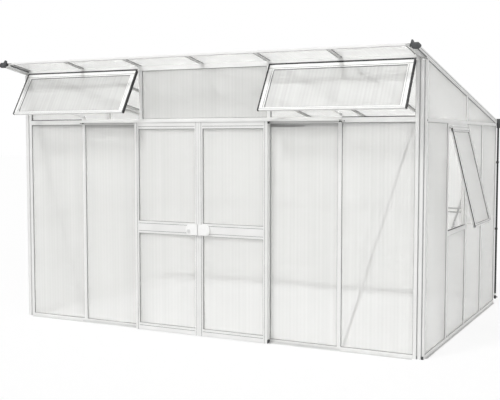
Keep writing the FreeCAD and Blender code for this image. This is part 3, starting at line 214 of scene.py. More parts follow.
class Finish:
    """A material being built around one Principled shader, with helpers for its textures."""

    def __init__(self, name):
        self.material = bpy.data.materials.new(name)
        self.material.use_nodes = True
        self.tree = self.material.node_tree
        self.tree.nodes.clear()
        self.out = self.tree.nodes.new("ShaderNodeOutputMaterial")
        self.shader = self.tree.nodes.new("ShaderNodeBsdfPrincipled")
        self.join(self.shader.outputs[0], self.out.inputs["Surface"])
        self.place = self.tree.nodes.new("ShaderNodeTexCoord").outputs["Object"]

    def join(self, source, target):
        """Link a node's output to another one's input."""
        self.tree.links.new(source, target)

    def constant(self, **values):
        """Set inputs of the shader, named with underscores for spaces."""
        for name, value in values.items():
            self.shader.inputs[name.replace("_", " ")].default_value = value

    def mapped(self, scale):
        """The object's own coordinates, stretched along each axis."""
        mapping = self.tree.nodes.new("ShaderNodeMapping")
        mapping.inputs["Scale"].default_value = scale
        self.join(self.place, mapping.inputs["Vector"])
        return mapping.outputs[0]

    def noise(self, scale, detail=3.0):
        """Noise whose grain is the inverse of the scale along each axis, in metres."""
        texture = self.tree.nodes.new("ShaderNodeTexNoise")
        texture.inputs["Scale"].default_value = 1
        texture.inputs["Detail"].default_value = detail
        self.join(self.mapped(scale), texture.inputs["Vector"])
        return texture.outputs["Fac"]

    def waves(self, axis, pitch):
        """Even rounded ribs across an axis."""
        texture = self.tree.nodes.new("ShaderNodeTexWave")
        texture.wave_type = "BANDS"
        texture.bands_direction = axis
        texture.inputs["Scale"].default_value = math.pi / (10 * pitch)
        self.join(self.place, texture.inputs["Vector"])
        return texture.outputs["Fac"]

    def between(self, source, low, high, start=0.3, end=0.7):
        """Spread a texture's middle range over two values."""
        spread = self.tree.nodes.new("ShaderNodeMapRange")
        spread.inputs["From Min"].default_value = start
        spread.inputs["From Max"].default_value = end
        spread.inputs["To Min"].default_value = low
        spread.inputs["To Max"].default_value = high
        self.join(source, spread.inputs["Value"])
        return spread.outputs[0]

    def colours(self, source, *stops):
        """Colours along a texture, each as its place and its red, green and blue."""
        ramp = self.tree.nodes.new("ShaderNodeValToRGB")
        points = ramp.color_ramp.elements
        while len(points) < len(stops):
            points.new(0.5)
        for point, (place, colour) in zip(points, stops):
            point.position = place
            point.color = (*colour, 1)
        self.join(source, ramp.inputs["Fac"])
        return ramp.outputs["Color"]

    def sum(self, first, share, second):
        """The first texture's share added to the second's remainder."""
        parts = [calculate(self.tree, "MULTIPLY", source, weight)
                 for source, weight in ((first, share), (second, 1 - share))]
        return calculate(self.tree, "ADD", *parts)

    def bump(self, height, distance, strength=1.0, under=None):
        """Relief from a texture, as deep as the distance in metres, over another relief if one is given."""
        relief = self.tree.nodes.new("ShaderNodeBump")
        relief.inputs["Strength"].default_value = strength
        relief.inputs["Distance"].default_value = distance
        self.join(height, relief.inputs["Height"])
        if under is not None:
            self.join(under, relief.inputs["Normal"])
        return relief.outputs[0]

    def set(self, name, source):
        """Link a node's output to an input of the shader."""
        self.join(source, self.shader.inputs[name])


def aluminium(name, grain, dark, light):
    """Satin anodised profile; the grain is long along the way it was extruded."""
    finish = Finish(name)
    finish.constant(Metallic=0.06)
    lines = finish.noise(grain, 4)
    clouds = finish.noise((5, 5, 5), 4)
    finish.set("Base Color", finish.colours(clouds, (0.3, dark), (0.7, light)))
    finish.set("Roughness", finish.between(lines, 0.46, 0.62))
    specks = finish.bump(finish.noise((900, 900, 900), 2), 0.00005, 0.3)
    finish.set("Normal", finish.bump(lines, 0.0002, 0.25, specks))
    return finish.material


def twin_wall(name, axis, dark, light, milk, clear, relief=0.8):
    """Milky hollow sheet with upright flutes.

    Milk is its diffuse share, clear what each face lets through, and relief how far the flutes blur the view.
    """
    finish = Finish(name)
    across, along = 45.0, 0.4
    grain = {"X": (across, along, along), "Y": (along, across, along)}[axis]
    streaks = finish.sum(finish.waves(axis, STREAK), 0.2, finish.noise(grain, 3))
    tint = finish.colours(streaks, (0.3, dark), (0.7, light))
    finish.constant(Transmission_Weight=0.64, IOR=1.28, Specular_IOR_Level=0.35)
    finish.set("Base Color", tint)
    finish.set("Roughness", finish.between(streaks, 0.06, 0.13))
    finish.set("Normal", finish.bump(finish.waves(axis, FLUTE), 0.0009, relief))
    spread = finish.tree.nodes.new("ShaderNodeBsdfTranslucent")
    finish.join(tint, spread.inputs["Color"])
    sheet = blend(finish.tree, finish.shader.outputs[0], spread.outputs[0], milk)
    # Lamps shine through the sheet, dimmed
    rays = finish.tree.nodes.new("ShaderNodeLightPath").outputs
    passing = finish.tree.nodes.new("ShaderNodeBsdfTransparent")
    passing.inputs["Color"].default_value = (clear, clear, clear, 1)
    surface = blend(finish.tree, sheet, passing.outputs[0], rays["Is Shadow Ray"])
    finish.join(surface, finish.out.inputs["Surface"])
    return finish.material


def moulded(name, dark, light, smooth, rough):
    """Moulded plastic or rubber with a fine grain and slow changes of tone."""
    finish = Finish(name)
    finish.constant(Metallic=0.0)
    clouds = finish.noise((30, 30, 30), 4)
    grain = finish.noise((1600, 1600, 1600), 2)
    finish.set("Base Color", finish.colours(clouds, (0.3, dark), (0.7, light)))
    finish.set("Roughness", finish.between(grain, smooth, rough))
    finish.set("Normal", finish.bump(grain, 0.00012, 0.4))
    return finish.material


def plated(name, dark, light):
    """Zinc on bolts and studs, with turned lines."""
    finish = Finish(name)
    finish.constant(Metallic=0.8)
    clouds = finish.noise((160, 160, 160), 4)
    scratches = finish.noise((900, 900, 2500), 3)
    finish.set("Base Color", finish.colours(clouds, (0.3, dark), (0.7, light)))
    finish.set("Roughness", finish.between(scratches, 0.3, 0.55))
    finish.set("Normal", finish.bump(scratches, 0.00008, 0.4))
    return finish.material


# Grain of a profile's finish, across and along the way it was extruded
FINE = 700
LONG = 4

# Darkest and lightest tone of the metals and of the panes
NEAR_WHITE = ((0.78, 0.78, 0.77), (0.84, 0.84, 0.83))
# Darker mill grey: the stays' own finish, and painted shade on the door's bottom track and on the sills'
# flange strips; it also darkens the rear sill
MILL_AND_SHADE_GREY = ((0.58, 0.58, 0.575), (0.66, 0.66, 0.655))
# Whiter tone: painted highlight on the lit faces of the sills
HIGHLIGHT_WHITE = ((0.87, 0.87, 0.86), (0.91, 0.91, 0.9))
GALVANISED = ((0.34, 0.34, 0.34), (0.44, 0.44, 0.44))
MILKY = ((0.915, 0.916, 0.907), (0.972, 0.973, 0.964))
# The next three tint the same sheet lighter or darker: painted light for the side panes, painted shade for
# the window sashes and for the clerestory pane under the roof
PAINTED_LIGHT_TINT = ((0.95, 0.951, 0.942), (0.99, 0.99, 0.982))
PAINTED_SHADE_TINT = ((0.785, 0.786, 0.778), (0.865, 0.866, 0.857))
PAINTED_HALF_SHADE_TINT = ((0.858, 0.859, 0.851), (0.926, 0.927, 0.918))

ALONG_X = aluminium("aluminium_along_x", (LONG, FINE, FINE), *NEAR_WHITE)
ALONG_Y = aluminium("aluminium_along_y", (FINE, LONG, FINE), *NEAR_WHITE)
ALONG_Z = aluminium("aluminium_along_z", (FINE, FINE, LONG), *NEAR_WHITE)
EVEN = aluminium("aluminium_even", (FINE, FINE, FINE), *NEAR_WHITE)
MILLED_AND_PAINTED_SHADE = aluminium("aluminium_mill_and_painted_shade", (LONG, FINE, FINE), *MILL_AND_SHADE_GREY)
PAINTED_HIGHLIGHT = aluminium("aluminium_painted_highlight", (LONG, FINE, FINE), *HIGHLIGHT_WHITE)
STRAP = aluminium("galvanised", (FINE, FINE, FINE), *GALVANISED)
PANE_X = twin_wall("twin_wall_front", "X", *MILKY, milk=0.22, clear=0.66)
# Side, sash and clerestory panes take the lighter and darker tints: painted light and painted shade on one
# sheet
PANE_Y = twin_wall("twin_wall_side", "Y", *PAINTED_LIGHT_TINT, milk=0.22, clear=0.66)
PANE_ROOF = twin_wall("twin_wall_roof", "X", *MILKY, milk=0.26, clear=0.74)
PANE_SASH = twin_wall("twin_wall_sash", "X", *PAINTED_SHADE_TINT, milk=0.16, clear=0.7, relief=0.35)
PANE_UPPER = twin_wall("twin_wall_upper", "X", *PAINTED_HALF_SHADE_TINT, milk=0.22, clear=0.7)
RUBBER = moulded("seal_rubber", (0.012, 0.012, 0.013), (0.03, 0.03, 0.031), 0.5, 0.75)
DARK = moulded("dark_plastic", (0.035, 0.037, 0.04), (0.065, 0.067, 0.07), 0.4, 0.6)
PALE = moulded("pale_plastic", (0.88, 0.88, 0.87), (0.93, 0.93, 0.92), 0.3, 0.48)
# Dark grey: gaskets, and painted shade on the window jambs, beside the roof bars and on the barge inner faces
GASKET_AND_SHADE = moulded("gasket_and_painted_shade", (0.16, 0.161, 0.162), (0.24, 0.241, 0.242), 0.5, 0.7)
# Near-black: painted shade in the door and window grooves and under the barge lips
PAINTED_SHADE_DARK = moulded("painted_shade_dark", (0.06, 0.061, 0.063), (0.1, 0.101, 0.103), 0.5, 0.7)
# Mid grey: gaskets of the side walls, and painted shade in the post grooves
SOFT_GREY = moulded("grey_gasket_and_painted_shade", (0.36, 0.361, 0.363), (0.44, 0.441, 0.443), 0.5, 0.7)
# Light grey: painted shadow under the front beam
PAINTED_SHADOW_GREY = moulded("painted_shadow_grey", (0.6, 0.601, 0.603), (0.68, 0.681, 0.683), 0.5, 0.7)
PIPE = moulded("pipe_plastic", (0.014, 0.015, 0.016), (0.03, 0.031, 0.032), 0.45, 0.62)
GRIP = moulded("grip_plastic", (0.7, 0.7, 0.695), (0.77, 0.77, 0.765), 0.3, 0.48)
STEEL = plated("dark_zinc", (0.1, 0.1, 0.105), (0.22, 0.22, 0.23))
ZINC = plated("bright_zinc", (0.5, 0.5, 0.505), (0.66, 0.66, 0.67))

FINISHES = {
    ALONG_X: ("base_sill_front front_beam front_top_beam rear_eave_beam roof_edges rear_gutter "
              "door_top_track window_hinge_rails"),
    ALONG_Y: "base_sills_side side_beams barge_bars roof_bars side_window_surround window_side_stay",
    ALONG_Z: "corner_posts_front corner_posts_rear front_bars side_bars rear_bars",
    EVEN: ("wall_mid_rails door_left_frame door_right_frame window_left_frame window_right_frame "
           "window_side_frame"),
    # Mill grey is the stays' own finish; on the bottom track it is painted shade, and it makes the rear sill
    # darker
    MILLED_AND_PAINTED_SHADE: "base_sill_rear door_bottom_track window_left_stay window_right_stay",
    STRAP: "wall_braces",
    PANE_X: "front_panes rear_panes door_left_panes door_right_panes",
    PANE_ROOF: "roof_panes",
    PANE_SASH: "window_left_pane window_right_pane",
    PANE_UPPER: "clerestory_pane",
    PANE_Y: "side_panes window_side_pane",
    RUBBER: "window_left_seal window_right_seal window_side_seal",
    DARK: ("barge_caps gutter_end_caps track_stops door_left_fittings door_right_fittings "
           "door_left_roller_inner door_left_roller_outer door_right_roller_inner door_right_roller_outer"),
    PIPE: "downpipe downpipe_spout",
    PALE: "downpipe_clips door_left_handle door_right_handle",
    GRIP: "door_lock_knob",
    STEEL: "frame_bolts stay_pegs",
}


def dress_nodes():
    """Give every node its finish."""
    for finish, names in FINISHES.items():
        for name in names.split():
            slots = nodes[name].material_slots
            if not slots:
                nodes[name].data.materials.append(finish)
            for slot in slots:
                slot.material = finish


# Each wall is laid out like the front one: across it, inward from its outer plane, and up
WALLS = {
    "front": Matrix.Translation((0, -HALF_DEPTH, 0)),
    "right": Matrix.Translation((HALF_WIDTH, 0, 0)) @ Matrix.Rotation(math.radians(90), 4, "Z"),
    "rear": Matrix.Translation((0, HALF_DEPTH, 0)) @ Matrix.Rotation(math.radians(180), 4, "Z"),
    "left": Matrix.Translation((-HALF_WIDTH, 0, 0)) @ Matrix.Rotation(math.radians(270), 4, "Z"),
}

# Each open sash is laid out from its hook: across the wall, inward, and up
WINDOW_OPEN = math.radians(-31)
SIDE_WINDOW_OPEN = math.radians(-14)
HOOK_RADIUS = 0.008
HINGE_TOP = 2.294
SIDE_HINGE_TOP = 1.795
SASHES = {
    "left": WALLS["front"] @ Matrix.Translation((0, -BEAM_SHEET - HOOK_RADIUS, HINGE_TOP))
            @ Matrix.Rotation(WINDOW_OPEN, 4, "X"),
    "side": WALLS["right"] @ Matrix.Translation((0, -HOOK_RADIUS, SIDE_HINGE_TOP))
            @ Matrix.Rotation(SIDE_WINDOW_OPEN, 4, "X"),
}
SASHES["right"] = SASHES["left"]


def add_piece(name, mesh, body, finish, stands_for=None):
    """Turn a finished mesh into a piece that rides on a body and may stand for a node."""
    data = bpy.data.meshes.new(name)
    bmesh.ops.recalc_face_normals(mesh, faces=mesh.faces)
    mesh.to_mesh(data)
    mesh.free()
    data.materials.append(finish)
    piece = bpy.data.objects.new(name, data)
    scene.collection.objects.link(piece)
    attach(piece, body)
    if stands_for:
        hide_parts(stands_for)
    return piece


# Wedge of rubber between a frame and its pane: in from the frame's edge, and out from the pane
WEDGE = [(0.0, 0.0), (0.0, 0.0042), (0.0008, 0.0046), (0.0022, 0.0036), (0.0029, 0.0018), (0.003, 0.0)]


def bridge(mesh, first, second):
    """Faces between two closed rows of corners."""
    count = len(first)
    for spot in range(count):
        after = (spot + 1) % count
        mesh.faces.new((first[spot], second[spot], second[after], first[after]))


def add_ring(mesh, place, across, up, depth):
    """A mitred wedge round an opening; the depth is the pane's face, and outward is negative."""
    low, high = across
    bottom, top = up
    corners = [(low, bottom, 1, 1), (high, bottom, -1, 1), (high, top, -1, -1), (low, top, 1, -1)]
    loops = [[mesh.verts.new(place @ Vector((u + side_u * inward, depth - out, v + side_v * inward)))
              for inward, out in WEDGE] for u, v, side_u, side_v in corners]
    for first, second in zip(loops, loops[1:] + loops[:1]):
        bridge(mesh, first, second)


def bay(module, low, high=None):
    """Clear span between the caps of the bars on two bay lines."""
    high = low + 1 if high is None else high
    return (low * module + HALF_BAR, high * module - HALF_BAR)


def wall_gaskets():
    """Wedges round the fixed panes of each wall."""
    lower = (SILL_TOP, MID_RAIL - HALF_BAR)
    upper = (MID_RAIL + HALF_BAR, WALL_TOP)
    openings = {
        "front": [(bay(FRONT_BAY, line), (SILL_TOP, WALL_TOP)) for line in (-3, -2, 1, 2)]
                 + [(bay(FRONT_BAY, -1, 1), (BEAM_TOP, TOP_BEAM))],
        "right": [(bay(SIDE_BAY, line), (SILL_TOP, WALL_TOP)) for line in (-2, 0, 1)]
                 + [(bay(SIDE_BAY, -1), (SILL_TOP, SIDE_SILL_LOW))],
        "left": [(bay(SIDE_BAY, line), span) for line in range(-2, 2) for span in (lower, upper)],
        "rear": [(bay(FRONT_BAY, line), span) for line in range(-3, 3)
                 for span in (lower, (upper[0], REAR_BEAM))],
    }
    finishes = {"front": GASKET_AND_SHADE, "right": SOFT_GREY, "left": SOFT_GREY, "rear": GASKET_AND_SHADE}
    for wall, places in openings.items():
        mesh = bmesh.new()
        for across, up in places:
            add_ring(mesh, WALLS[wall], across, up, PANE_OUTER)
        add_piece(f"gaskets_{wall}", mesh, "frame", finishes[wall])


def door_gaskets():
    """Wedges round the upper and the lower pane of each door."""
    pane_face = -0.053
    heights = [(0.066, 0.8685), (0.9735, 1.7783)]
    near, far = DOOR_GAP + DOOR_STILE, DOOR_EDGE - DOOR_STILE
    for side, across in (("left", (-far, -near)), ("right", (near, far))):
        mesh = bmesh.new()
        for up in heights:
            add_ring(mesh, WALLS["front"], across, up, pane_face)
        add_piece(f"gaskets_door_{side}", mesh, f"door_{side}", GASKET_AND_SHADE)


def sash_gaskets():
    """Wedges round the panes of the windows, in each open sash's own frame."""
    pane_face = -0.0065
    # Span across and span up of each opening
    openings = {
        "left": ((-1.803, -0.694), (-0.419, -0.058)),
        "right": ((0.694, 1.803), (-0.419, -0.058)),
        "side": ((-0.594, -0.060), (-0.829, -0.046)),
    }
    for label, (across, up) in openings.items():
        mesh = bmesh.new()
        add_ring(mesh, SASHES[label], across, up, pane_face)
        add_piece(f"gaskets_window_{label}", mesh, f"window_{label}", GASKET_AND_SHADE)


def strip(width, height, corner):
    """Section of a flat strip by distance outward and sideways, with softened outer corners."""
    half = width / 2
    return [(0, -half), (height - corner, -half), (height, -half + corner), (height, half - corner),
            (height - corner, half), (0, half)]


def add_bead(mesh, place, start, end, section):
    """A straight strip from one point of a wall to another, standing outward from it."""
    outward = Vector((0, -1, 0))
    start, end = Vector(start), Vector(end)
    sideways = outward.cross(end - start).normalized()
    loops = [[mesh.verts.new(place @ (point + outward * out + sideways * side)) for out, side in section]
             for point in (start, end)]
    bridge(mesh, *loops)
    mesh.faces.new(loops[0])
    mesh.faces.new(reversed(loops[1]))


def roof_gaskets_and_shade():
    """Under the roof panes: upright strips of painted shade beside the bars, and flat gaskets along the front
    and rear edge strips.
    """
    # Across the roof, up from its upper face, and back along its slope from the front wall
    slope_axes = Matrix(((1, 0, 0, 0), (0, 0, 1, 0), (0, 1, 0, 0), (0, 0, 0, 1)))
    under = (Matrix.Translation((0, -HALF_DEPTH, ROOF_FRONT)) @ Matrix.Rotation(-ROOF_PITCH, 4, "X")
             @ slope_axes)
    pane_face = -0.00875
    barge_edge = 1.848
    overhang, inside = (-0.251, -0.008), (0.050, 2.665)
    front, rear = -0.247, 2.7123
    width = 0.003
    # Upright strips beside the bars: painted shade of the bars' shaded sides
    beside = strip(width, 0.006, 0.0006)
    along = strip(0.008, 0.0026, 0.0008)
    bars = [count * FRONT_BAY + side * HALF_BAR for count in range(-2, 3) for side in (-1, 1)]
    edges = [-barge_edge, *bars, barge_edge]
    mesh = bmesh.new()
    for low, high in zip(edges[::2], edges[1::2]):
        for across in (low + width / 2, high - width / 2):
            for start, end in (overhang, inside):
                add_bead(mesh, under, (across, pane_face, start), (across, pane_face, end), beside)
        for run in (front, rear):
            add_bead(mesh, under, (low + width, pane_face, run), (high - width, pane_face, run), along)
    add_piece("gaskets_and_painted_shade_roof", mesh, "frame", GASKET_AND_SHADE)


def inner_strips():
    """Grey strips on the inner side of the panes: painted shadow under the front beam, and dark strips beside
    the rear rail and sill.
    """
    narrow, wide, broad = 0.008, 0.026, 0.034
    thick, corner = 0.0024, 0.0006
    rear = [(MID_RAIL - HALF_BAR - narrow / 2, narrow), (MID_RAIL + HALF_BAR + narrow / 2, narrow),
            (SILL_TOP + wide / 2, wide)]
    # The broad front strip is painted shadow of the track and beam
    plan = {"front": ((-3, -2, 1, 2), [(WALL_TOP - broad / 2, broad)], PAINTED_SHADOW_GREY),
            "rear": (range(-3, 3), rear, GASKET_AND_SHADE)}
    for wall, (lines, levels, finish) in plan.items():
        inside = (WALLS[wall] @ Matrix.Translation((0, PANE_OUTER + PANE_THICK, 0))
                  @ Matrix.Rotation(math.pi, 4, "Z"))
        mesh = bmesh.new()
        for line in lines:
            low, high = bay(FRONT_BAY, line)
            for height, width in levels:
                add_bead(mesh, inside, (low, 0, height), (high, 0, height), strip(width, thick, corner))
        add_piece(f"inner_strips_{wall}", mesh, "frame", finish)


def facing(wall, across, side):
    """Place of an upright face on a wall that looks along it, to the right (1) or to the left (-1)."""
    return WALLS[wall] @ Matrix.Translation((across, 0, 0)) @ Matrix.Rotation(side * math.pi / 2, 4, "Z")


def jamb_painted_shade():
    """Grey strips of painted shade on the side faces of the uprights beside the two front windows."""
    mesh = bmesh.new()
    middle = 0.011
    section = strip(0.020, 0.0012, 0.0004)
    foot, top = BEAM_TOP + 2 * CLEARANCE, TOP_BEAM - 2 * CLEARANCE
    bar_edge = FRONT_BAY + HALF_BAR
    for across, side in ((-POST_EDGE, 1), (-bar_edge, -1), (bar_edge, 1), (POST_EDGE, -1)):
        place = facing("front", across, side)
        add_bead(mesh, place, (side * middle, 0, foot), (side * middle, 0, top), section)
    add_piece("jamb_painted_shade", mesh, "frame", GASKET_AND_SHADE)


def door_plugs():
    """Dark plugs at the head and foot of each door's outer stile."""
    middle = -0.050
    section = strip(DOOR_STILE, 0.002, 0.0008)
    spans = [(0.0075, 0.036), (1.815, 1.8395)]
    for name, side in (("left", -1), ("right", 1)):
        mesh = bmesh.new()
        place = facing("front", side * DOOR_EDGE, side)
        for low, high in spans:
            add_bead(mesh, place, (side * middle, 0, low), (side * middle, 0, high), section)
        add_piece(f"plugs_door_{name}", mesh, f"door_{name}", DARK)


def along_roof(depth, run):
    """Height of a line parallel to the roof, by its depth below it and the distance behind the front wall."""
    return ROOF_FRONT - depth / math.cos(ROOF_PITCH) - run * math.tan(ROOF_PITCH)


def gable_seals():
    """Grey rubber between the gable panes and the barge bars."""
    mesh = bmesh.new()
    width = 0.007
    section = strip(width, 0.0035, 0.001)
    depth = PANE_OUTER - 0.0002
    bar_edge = HALF_BAR + CLEARANCE
    for wall, fall in (("right", 1), ("left", -1)):
        for span in ((-SIDE_POST_EDGE, -bar_edge), (bar_edge, SIDE_POST_EDGE)):
            ends = [(across, depth, along_roof(BARGE_DEPTH, HALF_DEPTH + fall * across) - width / 2)
                    for across in span]
            add_bead(mesh, WALLS[wall], *ends, section)
    add_piece("gable_seals", mesh, "frame", GASKET_AND_SHADE)


def frame_seals():
    """Black rubber on the front beam under the windows and on the side window's sill."""
    mesh = bmesh.new()
    width = 0.006
    beam_seal = strip(width, 0.0011, 0.0004)
    height = BEAM_TOP - width / 2
    for side in (-1, 1):
        add_bead(mesh, WALLS["front"], (side * (TRACK_HALF + CLEARANCE), -BEAM_SHEET, height),
                 (side * POST_EDGE, -BEAM_SHEET, height), beam_seal)
    sill_seal = strip(width, 0.009, 0.002)
    low, high = bay(SIDE_BAY, -1)
    depth, height = 0.010, SIDE_SILL_TOP + width / 2
    add_bead(mesh, WALLS["right"], (low, depth, height), (high, depth, height), sill_seal)
    add_piece("frame_seals", mesh, "frame", RUBBER)


def barge_lines():
    """Dark strips along the barge bars: a thin line on the outer face, and painted shade in front of the wall
    on the inner face and lip.
    """
    mesh, lips = bmesh.new(), bmesh.new()
    barge_in = 0.060
    overhang = (-0.246, -0.004)
    whole = (-0.24, 2 * HALF_DEPTH - 0.004)
    for wall, fall in (("right", 1), ("left", -1)):
        inner = WALLS[wall] @ Matrix.Translation((0, barge_in, 0)) @ Matrix.Rotation(math.pi, 4, "Z")
        # Mesh, face, way the roof falls, distance inward, depth below the roof, stretch and section
        plan = [
            (mesh, WALLS[wall], fall, 0, 0.014, whole, strip(0.004, 0.0006, 0.0002)),
            # Painted shade on the inner face and on the lip
            (mesh, inner, -fall, 0, 0.02075, overhang, strip(0.016, 0.001, 0.0004)),
            (lips, WALLS[wall], fall, 0.0035, 0.035, overhang, strip(0.009, 0.001, 0.0004)),
        ]
        for target, place, way, inward, depth, runs, section in plan:
            ends = [(way * (run - HALF_DEPTH), inward, along_roof(depth, run)) for run in runs]
            add_bead(target, place, *ends, section)
    add_piece("barge_lines", mesh, "frame", GASKET_AND_SHADE)
    add_piece("barge_lip_painted_shade", lips, "frame", PAINTED_SHADE_DARK)


# Strip of painted shade in the grooves of the door and window members
GROOVE_SHADE = strip(0.003, 0.005, 0.0008)


def post_groove_shade():
    """Grey strips of painted shade in the grooves and outer notches of the corner posts, and dark plugs at
    their feet.
    """
    mesh, plugs = bmesh.new(), bmesh.new()
    tops = {"front": TOP_BEAM, "rear": 1.839}
    notch_side = {"front": 1, "rear": -1}
    notch, notch_line, notch_depth = 0.020, 0.0165, 0.014
    groove, groove_depth = 0.0535, 0.010
    foot, plug_top, head_gap = 0.001, 0.024, 0.002
    groove_shade_strip, groove_plug = strip(0.004, 0.004, 0.001), strip(0.004, 0.006, 0.001)
    notch_shade_strip, notch_plug = strip(0.006, 0.003, 0.001), strip(0.016, 0.011, 0.002)

    def add_upright(target, wall, across, depth, low, high, section):
        """An upright strip between two heights."""
        add_bead(target, WALLS[wall], (across, depth, low), (across, depth, high), section)

    for wall, top in tops.items():
        for side in (-1, 1):
            across = side * (HALF_WIDTH - groove)
            add_upright(mesh, wall, across, groove_depth, plug_top, top - head_gap, groove_shade_strip)
            add_upright(plugs, wall, across, groove_depth, foot, plug_top, groove_plug)
            across = side * (HALF_WIDTH - notch_line)
            add_upright(mesh, wall, across, notch_depth, plug_top, top - head_gap, notch_shade_strip)
        across = notch_side[wall] * (HALF_WIDTH - notch / 2)
        add_upright(plugs, wall, across, notch_depth, foot, plug_top, notch_plug)
    add_piece("post_groove_shade", mesh, "frame", SOFT_GREY)
    add_piece("post_plugs", plugs, "frame", DARK)


def sill_trim():
    """White strip of painted highlight on the base sills, and a darker strip of painted shade along the outer
    flange of each.
    """
    painted_highlights, flange_shades = bmesh.new(), bmesh.new()
    long_reach, side_reach = 0.030, 0.015
    plan = {"front": (POST_EDGE, long_reach), "rear": (POST_EDGE, long_reach),
            "right": (SIDE_POST_EDGE, side_reach), "left": (SIDE_POST_EDGE, side_reach)}
    flat = Matrix.Rotation(math.radians(-90), 4, "X")
    height = SILL_TOP - 0.0065
    flange_top = 0.003
    flange_inset, flange_thick, flange_corner = 0.001, 0.001, 0.0004
    track_end = TRACK_HALF + 2 * CLEARANCE
    highlight_section = strip(0.012, 0.0012, 0.0004)
    for wall, (half, reach) in plan.items():
        add_bead(painted_highlights, WALLS[wall], (-half, -BEAM_SHEET, height), (half, -BEAM_SHEET, height),
                 highlight_section)
        spans = [(-half, -track_end), (track_end, half)] if wall == "front" else [(-half, half)]
        middle = BEAM_SHEET + reach / 2
        for low, high in spans:
            add_bead(flange_shades, WALLS[wall] @ flat, (low, -flange_top, -middle), (high, -flange_top, -middle),
                     strip(reach - flange_inset, flange_thick, flange_corner))
    add_piece("sill_painted_highlights", painted_highlights, "frame", PAINTED_HIGHLIGHT)
    add_piece("sill_flange_painted_shade", flange_shades, "frame", MILLED_AND_PAINTED_SHADE)


def door_groove_shade():
    """Dark strips of painted shade in the grooves of the door members."""
    foot, top = 0.006, 1.8403
    stile_groove = 0.0235
    rail_grooves = (0.0465, 0.888, 0.954, 1.7978)
    bottom_of_groove = -0.064
    near, far = DOOR_GAP + DOOR_STILE, DOOR_EDGE - DOOR_STILE
    for name, side in (("left", -1), ("right", 1)):
        mesh = bmesh.new()
        for across in (DOOR_GAP + stile_groove, DOOR_EDGE - stile_groove):
            add_bead(mesh, WALLS["front"], (side * across, bottom_of_groove, foot),
                     (side * across, bottom_of_groove, top), GROOVE_SHADE)
        for height in rail_grooves:
            add_bead(mesh, WALLS["front"], (side * near, bottom_of_groove, height),
                     (side * far, bottom_of_groove, height), GROOVE_SHADE)
        add_piece(f"groove_shade_door_{name}", mesh, f"door_{name}", PAINTED_SHADE_DARK)


def sash_groove_shade():
    """Dark strips of painted shade in the grooves of the window members."""
    bottom_of_groove = -0.0075
    # Left and right edge, width of the stiles and lower edge of each sash
    plan = {
        "left": (-1.845, -0.652, 0.042, -0.444),
        "right": (0.652, 1.845, 0.042, -0.444),
        "side": (-0.624, -0.030, 0.030, -0.854),
    }
    sash_top, foot = -0.016, 0.025
    from_pane = 0.0125
    for label, (low, high, stile, bottom) in plan.items():
        mesh = bmesh.new()
        inner = stile - from_pane
        for across in (low + inner, high - inner):
            add_bead(mesh, SASHES[label], (across, bottom_of_groove, bottom + foot),
                     (across, bottom_of_groove, sash_top - stile), GROOVE_SHADE)
        for height in (bottom + foot - from_pane, sash_top - inner):
            add_bead(mesh, SASHES[label], (low, bottom_of_groove, height),
                     (high, bottom_of_groove, height), GROOVE_SHADE)
        add_piece(f"groove_shade_window_{label}", mesh, f"window_{label}", PAINTED_SHADE_DARK)


def islands(name):
    """The separate solids of a node, each as a list of faces of points in the row frame."""
    mesh = bmesh.new()
    mesh.from_mesh(nodes[name].data)
    bmesh.ops.remove_doubles(mesh, verts=mesh.verts, dist=WELD)
    mesh.transform(nodes[name].matrix_world)
    found = []
    left = dict.fromkeys(mesh.faces)
    while left:
        group = []
        queue = [left.popitem()[0]]
        while queue:
            face = queue.pop()
            group.append(face)
            for edge in face.edges:
                for other in edge.link_faces:
                    if other in left:
                        del left[other]
                        queue.append(other)
        found.append([[corner.co.copy() for corner in face.verts] for face in group])
    mesh.free()
    return found


def softened(solids, width):
    """A copy of solids with their sharp edges rounded, shaded smooth over the rounding."""
    mesh = bmesh.new()
    for faces in solids:
        for corners in faces:
            mesh.faces.new([mesh.verts.new(corner) for corner in corners])
    bmesh.ops.remove_doubles(mesh, verts=mesh.verts, dist=WELD)
    bmesh.ops.dissolve_limit(mesh, angle_limit=math.radians(1), verts=mesh.verts, edges=mesh.edges)
    sharp = [edge for edge in mesh.edges
             if len(edge.link_faces) == 2 and edge.calc_face_angle() > math.radians(35)]
    bmesh.ops.bevel(mesh, geom=sharp, offset=width, offset_type="OFFSET", segments=3, profile=0.5,
                    affect="EDGES", clamp_overlap=True)
    for face in mesh.faces:
        face.smooth = True
    return mesh


def split_shading(piece):
    """Keep flat faces flat beside their rounded edges."""
    piece.data.set_sharp_from_angle(angle=math.radians(32))


def add_soft_copy(node_name, body, slot, finish, width):
    """A copy of a node with rounded edges, which stands for it."""
    mesh = softened(islands(node_name), width)
    split_shading(add_piece(f"{node_name}_moulded", mesh, body, finish, node_name))


def mouldings():
    """Moulded and turned fittings with their edges rounded."""
    # Node, body, slot, finish and width of the rounding
    plan = [
        ("barge_caps", "frame", "dark_plastic", DARK, 0.003),
        ("gutter_end_caps", "frame", "dark_plastic", DARK, 0.0006),
        ("downpipe_spout", "frame", "dark_plastic", PIPE, 0.0007),
        ("track_stops", "frame", "dark_plastic", DARK, 0.001),
        ("stay_pegs", "frame", "bolt_steel", ZINC, 0.0008),
        ("door_lock_knob", "lock_knob", "pale_plastic", GRIP, 0.0012),
    ]
    for side in ("left", "right"):
        plan.append((f"door_{side}_fittings", f"door_{side}", "dark_plastic", DARK, 0.0006))
        for place in ("inner", "outer"):
            roller = f"roller_{side}_{place}"
            plan.append((f"door_{side}_roller_{place}", roller, "dark_plastic", DARK, 0.0012))
    for row in plan:
        add_soft_copy(*row)


